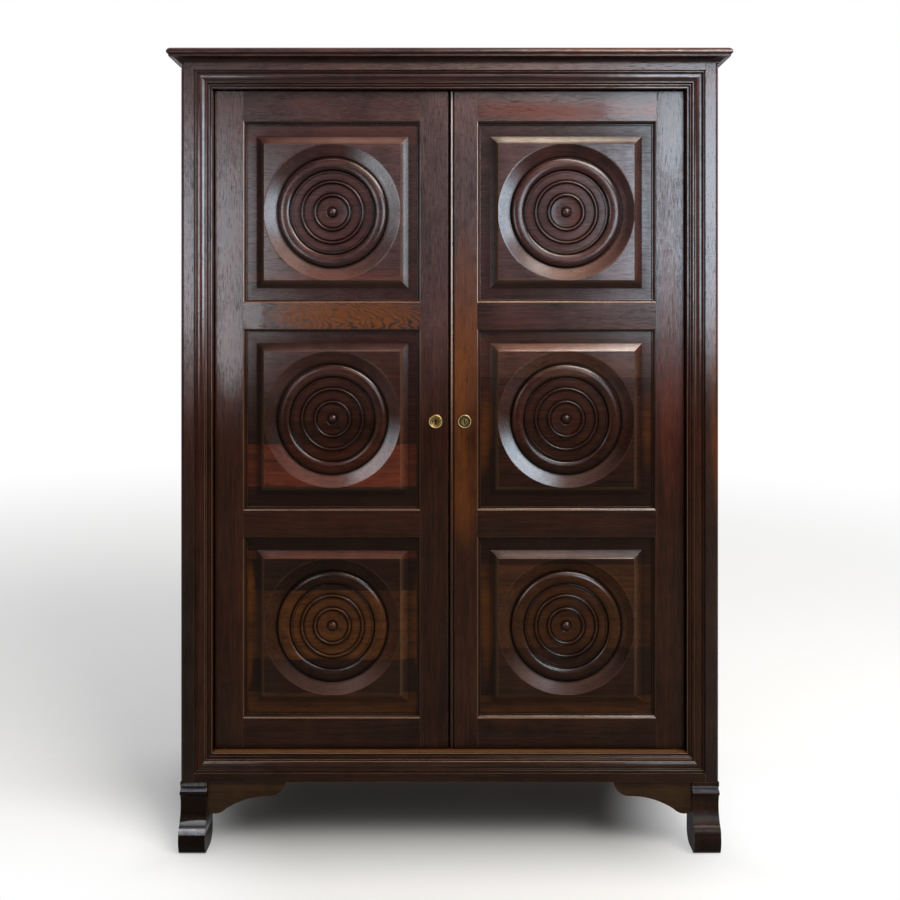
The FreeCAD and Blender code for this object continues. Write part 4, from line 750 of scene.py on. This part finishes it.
BRIGHT_BRASS = (tint(96, 70, 30), tint(150, 118, 58), tint(196, 166, 98))
BROWN_BRASS = (tint(46, 33, 18), tint(84, 64, 36), tint(120, 98, 60))
PLUG_BRASS = (tint(70, 60, 36), tint(118, 106, 68), tint(164, 152, 110))
brass = old_brass("golden_brown_brass", BRIGHT_BRASS, 0.5)
dark_brass = old_brass("dark_brown_brass", BROWN_BRASS, 0.6)
shelf_oak = dry_oak("dry_oak_shelves", "x")
back_oak = dry_oak("dry_oak_back", "z", 0.8, BACK_PITCH)
cleat_oak = dry_oak("dry_oak_cleats", "y", 0.85)

dress(brass, "barrel_cases", "lock_case", "lock_bolt", "lock_keeper", "upper_bolt_rod", "lower_bolt_rod")
dress(dark_brass, "pivot_plates", "left_door_sockets", "right_door_sockets", "lock_plug")
dress(shelf_oak, "floor_board", "shelves", "rear_rails", "door_stops")
dress(back_oak, "back_boards")
dress(cleat_oak, "shelf_cleats")

JOINERY = {  # way of the grain, nodes, and how the finish is kept
    # the amber spot at the right of the top board's nose is a painted highlight
    "top_board": ("x", ["top_board"], dict(
        settled=0.93, gloss=(0.1, 0.65), ambers_and_highlights=[(430, 1808, 260, 40, 0.5)])),
    "cornice": ("x", ["front_cornice", "side_cornices"], dict(light=0.74, shift=0.3, gloss=(0.1, 0.5))),
    "frieze": ("x", ["frieze_rail"], dict(
        light=1.4, gloss=(0.1, 1.0), glows=[(520, 1780, 130, 50, 0.35)], shift=0.5)),
    # painted highlight, with wear: the amber spot and the pale band along the sill's top, where it catches
    # the light
    "sill": ("x", ["sill_rail"], dict(
        light=0.85, edge=0.9, ambers_and_highlights=[(0, 215, 2400, 22, 0.5)], boards=[(203, 218, tint(116, 82, 50), 0.8)],
        shift=0.9)),
    "left_post": ("z", ["left_front_post", "left_rear_post"], dict(
        light=0.9, heights=POSTS_BY_HEIGHT, gloss=(0.06, 0.95), glows=[(-594, 1350, 30, 240, 0.5)],
        shift=0.2)),
    # the amber spot down the right post's outer edge is a painted highlight
    "right_post": ("z", ["right_front_post", "right_rear_post"], dict(
        light=1.1, heights=POSTS_BY_HEIGHT, gloss=(0.08, 0.95), ambers_and_highlights=[(600, 1050, 16, 330, 0.6)],
        glows=[(597, 1580, 30, 190, 1.1), (597, 1250, 30, 200, 0.5)], shift=0.7)),
    "side_rails": ("y", ["left_side_rails", "right_side_rails", "side_brackets"], dict(
        light=0.9, gloss=(0.04, 0.7), shift=0.4)),
    "side_panels": ("z", ["left_side_panels", "right_side_panels"], dict(
        light=0.9, gloss=(0.04, 0.6), shift=1.1)),
    # painted shade: the left foot's finish is a far darker copy of the right foot's; its pale bands on the
    # toe and the roll are painted highlights
    "left_foot": ("z", ["left_front_foot"], dict(
        light=0.08, upper=0.0, gloss=(0.0, 0.0), coat=0.3, shift=1.4,
        boards=[(46, 60, tint(176, 178, 182), 0.45), (137, 145, tint(120, 126, 140), 0.6)],
        glows=[(-580, 52, 60, 13, 4.0), (-580, 142, 60, 6, 1.2)])),
    # the right foot's bluish band on its roll is a painted highlight
    "right_foot": ("z", ["right_front_foot"], dict(
        light=0.85, upper=0.1, gloss=(0.02, 0.0), coat=0.3, shift=1.5,
        boards=[(137, 145, tint(96, 102, 124), 0.5)], glows=[(580, 142, 60, 6, 0.8)])),
    "brackets": ("x", ["left_front_bracket", "right_front_bracket"], dict(
        light=0.75, boards=[(60, 170, OLIVE, 0.3)], shift=1.7)),
    "left_hinge_stile": ("z", ["left_door_hinge_stile"], dict(
        glows=[(-505, 1400, 40, 180, 0.3), (-505, 1130, 40, 120, 0.8)], shift=2.0)),
    "left_meeting_stile": ("z", ["left_door_meeting_stile"], dict(light=0.85, shift=2.3)),
    "right_hinge_stile": ("z", ["right_door_hinge_stile"], dict(
        glows=[(508, 1650, 40, 130, 1.0)], russets=[(508, 1050, 44, 330, 0.6)], gloss=(0.04, 0.72),
        shift=2.6)),
    # the line on this stile is a painted highlight along its bead
    "right_meeting_stile": ("z", ["right_door_meeting_stile"], dict(
        light=0.95, edge=0.6, line=(5.0, 1.7), ambers_and_highlights=[(30, 1150, 50, 280, 0.72), (34, 840, 42, 190, 0.6)],
        shift=2.9)),
    "left_rails": ("x", ["left_door_bottom_rail", "left_door_top_rail"], dict(
        light=0.85, gloss=(0.04, 0.6), shift=3.2)),
    "left_middle_rails": ("x", ["left_door_middle_rails"], dict(
        light=0.78, figure=1.3, peaks=1206, ambers_and_highlights=[(-230, 1213, 210, 60, 1.1)],
        glows=[(-455, 1213, 26, 48, 1.2)], shift=3.5)),
    "right_rails": ("x", ["right_door_bottom_rail", "right_door_top_rail"], dict(
        light=0.95, russets=[(260, 1692, 420, 26, 1.3)], glows=[(440, 1705, 80, 50, 0.9)], shift=3.8)),
    "right_middle_rails": ("x", ["right_door_middle_rails"], dict(light=0.78, gloss=(0.05, 0.4), shift=4.1)),
}
for member, (along, nodes, care) in JOINERY.items():
    dress(polished_oak("polished_oak_" + member, along, **care), *nodes)


# --- the turned panels ---

# painted shade on the right side of each saucer, by door
SAUCER_SHADE = {"left": 0.2, "right": 0.65}
PANEL_OAK = {
    ("left", "top"): dict(
        light=0.95, boards=[(1296, 1317, RED_AMBER, 0.4), (1611, 1663, RUSSET, 0.45)],
        shines=[(2, 1.0), (9, 0.6)], glows=[(-400, 1460, 26, 90, 0.3)]),
    ("left", "middle"): dict(
        light=0.75, boards=[(818, 918, RED_AMBER, 0.65)], spread=(1, 0.25), shines=[(4.5, 0.9), (6, 0.5)]),
    ("left", "bottom"): dict(
        light=0.68, seams=[(344, -0.25), (418, 0.3), (579, -0.3)], shines=[(6, 0.3)], upper=0.45,
        ambers_and_highlights=[(-468, 560, 13, 90, 1.0), (-468, 400, 13, 60, 0.8), (-76, 500, 13, 130, 1.0)],
        boards=[(292, 344, BROWN_AMBER, 0.5), (418, 579, BROWN_AMBER, 0.5), (650, 670, RED_AMBER, 0.5)],
        spread=(0.35, 1)),
    ("right", "top"): dict(
        light=0.95, gloss=(0.04, 0.8), seams=[(1437, -0.1)], shines=[(9, 1.0), (8, 0.9)],
        glows=[(440, 1450, 16, 150, 0.6)]),
    ("right", "middle"): dict(
        light=0.72, seams=[(848, 0.2), (1071, 0.1)], shines=[(7.5, 1.0)],
        boards=[(1071, 1180, SORREL, 0.4), (1131, 1149, RED_AMBER, 0.5)],
        ambers_and_highlights=[(80, 950, 18, 110, 0.8), (455, 950, 16, 110, 0.6)]),
    ("right", "bottom"): dict(
        light=0.66, seams=[(444, 0.1)], ambers_and_highlights=[(80, 500, 16, 150, 0.6)],
        boards=[(290, 335, BROWN_AMBER, 0.45), (444, 640, BROWN_AMBER, 0.2)]),
}
for number, ((hand, row), care) in enumerate(PANEL_OAK.items()):
    (centre, clear), level = DOORS[hand], ROWS[row]
    door, name = hand + "_door", "%s_door_%s_panel" % (hand, row)
    finish = polished_oak("oak_" + name, "x", marked=True, coat=0.2, edge=0.25, centre=(centre, level),
                          shift=5.0 + 0.37 * number, **care)
    make_piece(name, [panel_surface(centre, clear, level, SAUCER_SHADE[hand])], door, finish,
               [door + "_panels"], crease=28)


# --- mouldings ---

OPENING_PROFILE = eased_profile([
    (24, 0), (4.5, 0), (4.5, 1.6), (3.0, 3.4, -1.9), (4.5, 5.2, -1.9), (7.0, 7.4), (7.0, 9.0),
    (10.5, 22.5, -24.0), (13.0, 22.5), (13.0, 25.5), (17.0, 28.0, 5.0), (15.6, 30.2, -2.4),
    (17.5, 32.4, -2.4), (19.5, 33.0), (19.5, 36.5), (24, 36.5)])
STICKING_PROFILE = eased_profile([
    (13, 0), (0.9, 0), (1.12, 1.0), (1.5, 2.0), (2.8, 2.1), (8.6, 6.2, -6.5), (8.6, 7.7), (13, 7.7)], 0.25)


def four_sides(centre, width, level, height):
    """Turn, length, x and z of the mitred strips round an opening: bottom, left, top and right."""
    return ((0, width, centre, level - height / 2), (90, height, centre - width / 2, level),
            (180, width, centre, level + height / 2), (-90, height, centre + width / 2, level))


opening_width, opening_height = FRAME_OPENING
for side, (turn, length, x, z) in zip(("bottom", "left", "top", "right"),
                                      four_sides(0, opening_width, DOOR_MIDDLE, opening_height)):
    name = side + "_run_moulding"
    # painted highlight: the bottom moulding's arrises are lightened more than the others'
    finish = polished_oak("oak_" + name, "z" if turn % 180 else "x", 1.12, marked=True, coat=0.14,
                          edge=0.5 if turn else 0.95, upper=0.5 if turn else 0.3,
                          gloss=(0.04, 0.75 if turn < 0 else 0.95), shift=7.0 + 0.3 * (turn / 90), figure=0.1)
    make_piece(name, [mitred_surface(OPENING_PROFILE, length, turn, (x, FRAME_FACE, z))], "carcass",
               finish, ["opening_moulding_" + side])

line, worn, grimy = STICKING_PROFILE
fillet = (line[:, 0] < 2.0) & (line[:, 1] < 2.05)
for hand, (centre, clear) in DOORS.items():
    strips = []
    for row, level in ROWS.items():
        for turn, length, x, z in four_sides(centre, clear, level, OPENING_HEIGHT):
            # painted highlight: the fillet is lightened most on the bottom strips and on the top row's left
            # strips, which face the light
            highlight_share = {0: 0.9, 90: 1.4 if row == "top" else 0.35}.get(turn, 0.15)
            strips.append(mitred_surface((line, np.where(fillet, highlight_share, worn * 0.4), grimy), length, turn,
                                         (x, DOOR_FACE, z)))
    finish = polished_oak("oak_%s_panel_mouldings" % hand, "z", 0.9, marked=True, coat=0.14, edge=0.75,
                          shift=9.0, figure=0.1)
    make_piece(hand + "_door_panel_mouldings", strips, hand + "_door", finish,
               [hand + "_door_sticking"])

TONGUE_PROFILE = eased_profile([(-2.5, -0.25), (2.5, -0.25), (2.5, 0.25), (-2.5, 0.25)], 0.05)
make_piece("back_board_tongues", [
    mitred_surface(TONGUE_PROFILE, BACK_HEIGHT, 90, (BACK_PITCH * joint, *BACK_MIDDLE))
    for joint in range(-3, 4)], "carcass", back_oak, [])


# --- escutcheons ---

def keyway_surface(centre, radius, front, sink, back, depth, rings=34, turns=96):
    """A closed disc facing -Y, by angle and radius.

    It is hollowed by the sink times 1 less the radius squared, a keyway is pushed in wherever
    depth(across, up) says so, and it is closed at the back.
    """
    turn = np.arange(turns) * 2 * math.pi / turns
    reach = np.concatenate([np.linspace(radius / rings, radius * 0.97, rings), [radius, radius]])[:, None]
    across, up = reach * np.cos(turn), reach * np.sin(turn)
    inward, dark = depth(across, up)
    y = front + sink * np.clip(1 - (reach / (radius * 0.9)) ** 2, 0, 1) + inward
    y[-2], y[-1] = front + 0.35, back
    middle_inward, middle_dark = depth(np.zeros(1), np.zeros(1))
    points = np.concatenate([
        np.stack([across + centre[0], y, up + centre[1]], -1).reshape(-1, 3),
        [[centre[0], front + sink + float(middle_inward[0]), centre[1]], [centre[0], back, centre[1]]]])
    # painted shade: the keyway darkened, and a dark band round the rim
    edge_dark = np.clip((reach / radius - 0.86) / 0.08, 0, 1) * np.ones(turns)
    grimy = np.clip(dark + edge_dark * 0.7, 0, 1)
    grimy = np.concatenate([grimy.ravel(), [float(middle_dark[0]), 0]])
    faces = faces_outward(points, capped_rings(len(reach), turns))
    return points, faces, np.stack([np.zeros(len(points)), grimy], -1)


def keyhole(across, up):
    """Depth and painted shade of a keyhole: a round eye above the middle and a slot that widens below it."""
    eye = np.hypot(across, up - 1.6) - 2.1
    slot = np.maximum(np.abs(across) - 0.9 - 0.12 * (1.6 - up), np.maximum(up - 1.6, -5.2 - up))
    inside = np.clip(0.5 - np.minimum(eye, slot) / 0.35, 0, 1)
    return inside * 2.6, inside


def plug_slot(across, up):
    """Depth and painted shade of a plug's slot, leaning ten degrees, with a ring cut near the edge of its
    face.
    """
    c, s = math.cos(math.radians(10)), math.sin(math.radians(10))
    aside, along = across * c + up * s, up * c - across * s
    slot = np.clip(0.5 - np.maximum(np.abs(aside) - 1.1, np.abs(along) - 5.4) / 0.35, 0, 1)
    ring = np.clip(1 - np.abs(np.hypot(across, up) - 6.9) / 0.5, 0, 1)
    return slot * 1.9 + ring * 0.5, np.clip(slot + ring * 0.55, 0, 1)


line, worn, _ = eased_profile([
    (9.6, 0), (16, 0), (16, -1.0), (15.2, -1.5), (14.6, -2.9, -1.0), (13.2, -2.9, -1.2), (12.2, -1.9),
    (9.6, -1.4)], 0.25)
crest = np.clip(1 - np.abs(line[:, 0] - 14.0) / 1.2, 0, 1) * (line[:, 1] < -2)
hollow = np.clip((12.8 - line[:, 0]) / 1.2, 0, 1) * 0.6
for hand, finish in (("left", brass), ("right", dark_brass)):
    ring = turned_surface((line, np.maximum(worn, crest), hollow), (ESCUTCHEONS[hand], DOOR_FACE, LOCK_LEVEL),
                          lobes=16, lobe_depth=-0.012)
    make_piece(hand + "_escutcheon", [ring], hand + "_door", finish, [hand + "_rosette"])
disc = keyway_surface((ESCUTCHEONS["left"], LOCK_LEVEL), radius=9.4, front=-209.0, sink=2.2, back=-202.5,
                      depth=keyhole)
make_piece("keyhole_disc", [disc], "left_door", old_brass("brown_disc_brass", BROWN_BRASS, 0.2),
           ["left_keyhole_disc"])
plug = keyway_surface((ESCUTCHEONS["right"], LOCK_LEVEL), radius=8.8, front=-211.9, sink=0.3, back=-209.4,
                      depth=plug_slot)
make_piece("plug_face", [plug], "lock_plug", old_brass("plug_brass", PLUG_BRASS, 0.4), [])


# --- studio ---

def studio_floor():
    """A pale floor that fades into the white surroundings away from the press.

    It turns white between 1.4 and 6 m from the left foot, and also in two rounds (x, y, near, far), one at
    the right and one before the left foot: white nearer to their middle than near, and floor beyond far.
    Under the press and close round it the paint is darker, down to less than half, a painted shadow.
    """
    side = 9.0
    mesh = bpy.data.meshes.new("studio_floor")
    corners = [(-side, -side, 0), (side, -side, 0), (side, side, 0), (-side, side, 0)]
    mesh.from_pydata(corners, [], [(0, 1, 2, 3)])
    floor = bpy.data.objects.new("studio_floor", mesh)
    bpy.context.scene.collection.objects.link(floor)
    material, finish = new_finish("pale_floor")
    finish.coordinates()
    away = (((finish.x + 0.55) * (finish.x + 0.55) + finish.y * finish.y) ** 0.5).between(1.4, 6.0)
    for x, y, near, far in ((0.95, -0.15, 0.2, 0.6), (-1.0, -0.75, 0.35, 0.85)):
        across, along = finish.x - x, finish.y - y
        away = away.at_least(1 - ((across * across + along * along) ** 0.5).between(near, far))
    eye_ray, reflected = rays_seen(finish)
    looked_at = reflected.at_least(eye_ray)
    # painted shadow: the floor's paint is darker under and close round the press
    beyond = (finish.x.math("ABSOLUTE") - 0.6).at_least(finish.y.math("ABSOLUTE") - 0.25)
    grain = (finish.mottle(30, 3.0) * 0.02 + 0.89) * (looked_at * 0.6 + 0.4) * (
        beyond.between(-0.12, 0.16) * 0.55 + 0.45)
    shade = finish.node("ShaderNodeCombineColor", None, {0: grain, 1: grain, 2: grain})
    paint = finish.node("ShaderNodeBsdfPrincipled", None, {
        "Base Color": shade.outputs[0], "Roughness": 0.9, "Specular IOR Level": 0.0})
    white = finish.node("ShaderNodeEmission", None, {"Color": (1, 1, 1, 1), "Strength": 1.0})
    seen = eye_ray.at_least(reflected * finish.y.between(-0.5, 0.5))
    mixed = finish.node("ShaderNodeMixShader", None, {
        0: away * seen, 1: paint.outputs[0], 2: white.outputs[0]})
    finish.node("ShaderNodeOutputMaterial", None, {"Surface": mixed.outputs[0]})
    mesh.materials.append(material)


def white_surroundings(low, high, studio):
    """White to the eye and behind the press; its light rises from low at the horizon to high overhead.

    Glossy surfaces see the white behind the press and the dimmer studio in front of it.
    """
    world = bpy.data.worlds.new("white_studio")
    bpy.context.scene.world = world
    world.use_nodes = True
    finish = Finish(world.node_tree)
    toward = finish.node("ShaderNodeTexCoord").outputs["Generated"]
    parts = finish.node("ShaderNodeSeparateXYZ", None, {0: toward})
    behind = Value(finish, parts.outputs[1]).between(-0.25, 0.25)
    above = Value(finish, parts.outputs[2]).between(0.0, 0.9)
    eye_ray, reflected = rays_seen(finish)
    shown = eye_ray.at_least(behind * (1 - studio) + studio)
    cool = finish.blend(eye_ray, (0.96, 0.86, 1.0, 1.0), (1, 1, 1, 1))
    white = finish.node("ShaderNodeBackground", None, {"Color": cool, "Strength": shown})
    light = finish.node("ShaderNodeBackground", None, {
        "Color": (1, 1, 1, 1), "Strength": above * (high - low) + low})
    mixed = finish.node("ShaderNodeMixShader", None, {
        0: eye_ray.at_least(reflected), 1: light.outputs[0], 2: white.outputs[0]})
    finish.node("ShaderNodeOutputWorld", None, {"Surface": mixed.outputs[0]})


def soft_box(name, place, aim, wide, tall, radiance, colour):
    """A rectangular lamp of an even radiance, looking at a point."""
    lamp = bpy.data.lights.new(name, "AREA")
    lamp.shape, lamp.size, lamp.size_y = "RECTANGLE", wide, tall
    lamp.energy, lamp.color = radiance * math.pi * wide * tall, colour
    holder = bpy.data.objects.new(name, lamp)
    bpy.context.scene.collection.objects.link(holder)
    from_lamp = np.array(aim, float) - np.array(place, float)
    flat = math.hypot(from_lamp[0], from_lamp[1])
    holder.location = place
    bearing = math.atan2(from_lamp[1], from_lamp[0]) - math.pi / 2
    holder.rotation_euler = (math.atan2(flat, -from_lamp[2]), 0, bearing)
    holder.visible_camera = False
    return holder


studio_floor()
white_surroundings(low=0.04, high=0.95, studio=0.17)
soft_box("ceiling_light", (1.9, -2.3, 3.7), (0.0, -0.2, 0.9), 2.4, 1.5, 13.0, (1.0, 0.96, 0.91))
for name, place, wide, tall, radiance, colour in (
        ("right_window", (2.9, -6.2, 2.2), 2.85, 2.4, 8.4, (0.70, 0.86, 1.0)),
        ("left_window", (-1.55, -3.3, 1.5), 0.95, 1.5, 4.6, (0.84, 0.92, 1.0)),
        ("right_skylight", (0.55, -2.2, 4.15), 0.7, 0.8, 11.0, (1.0, 0.86, 0.66)),
        ("right_lintel", (0.55, -2.2, 2.85), 0.8, 0.5, 2.6, (1.0, 0.5, 0.28)),
        ("left_skylight", (-0.55, -2.2, 4.15), 0.7, 0.8, 2.2, (1.0, 0.66, 0.5)),
        ("right_high_wall", (0.8, -6.6, 4.2), 1.7, 1.7, 2.8, (1.0, 0.68, 0.58)),
        ("left_high_wall", (-0.9, -6.6, 4.2), 1.7, 1.7, 0.9, (1.0, 0.5, 0.34)),
        ("far_wall", (0.0, -6.5, 2.5), 2.8, 1.5, 0.35, (1.0, 0.82, 0.84))):
    soft_box(name, place, (place[0] * 0.1, -0.25, 1.5), wide, tall, radiance, colour).visible_diffuse = False

eye = bpy.data.cameras.new("eye")
eye.sensor_width, eye.lens, eye.shift_y, eye.shift_x = 36.0, 37.1, -0.143, 0.0004
eye_holder = bpy.data.objects.new("eye", eye)
bpy.context.scene.collection.objects.link(eye_holder)
eye_holder.location, eye_holder.rotation_euler = (0, -2.3475, 1.2), (math.pi / 2, 0, 0)
bpy.context.scene.camera = eye_holder
bpy.context.scene.view_settings.view_transform = "Standard"
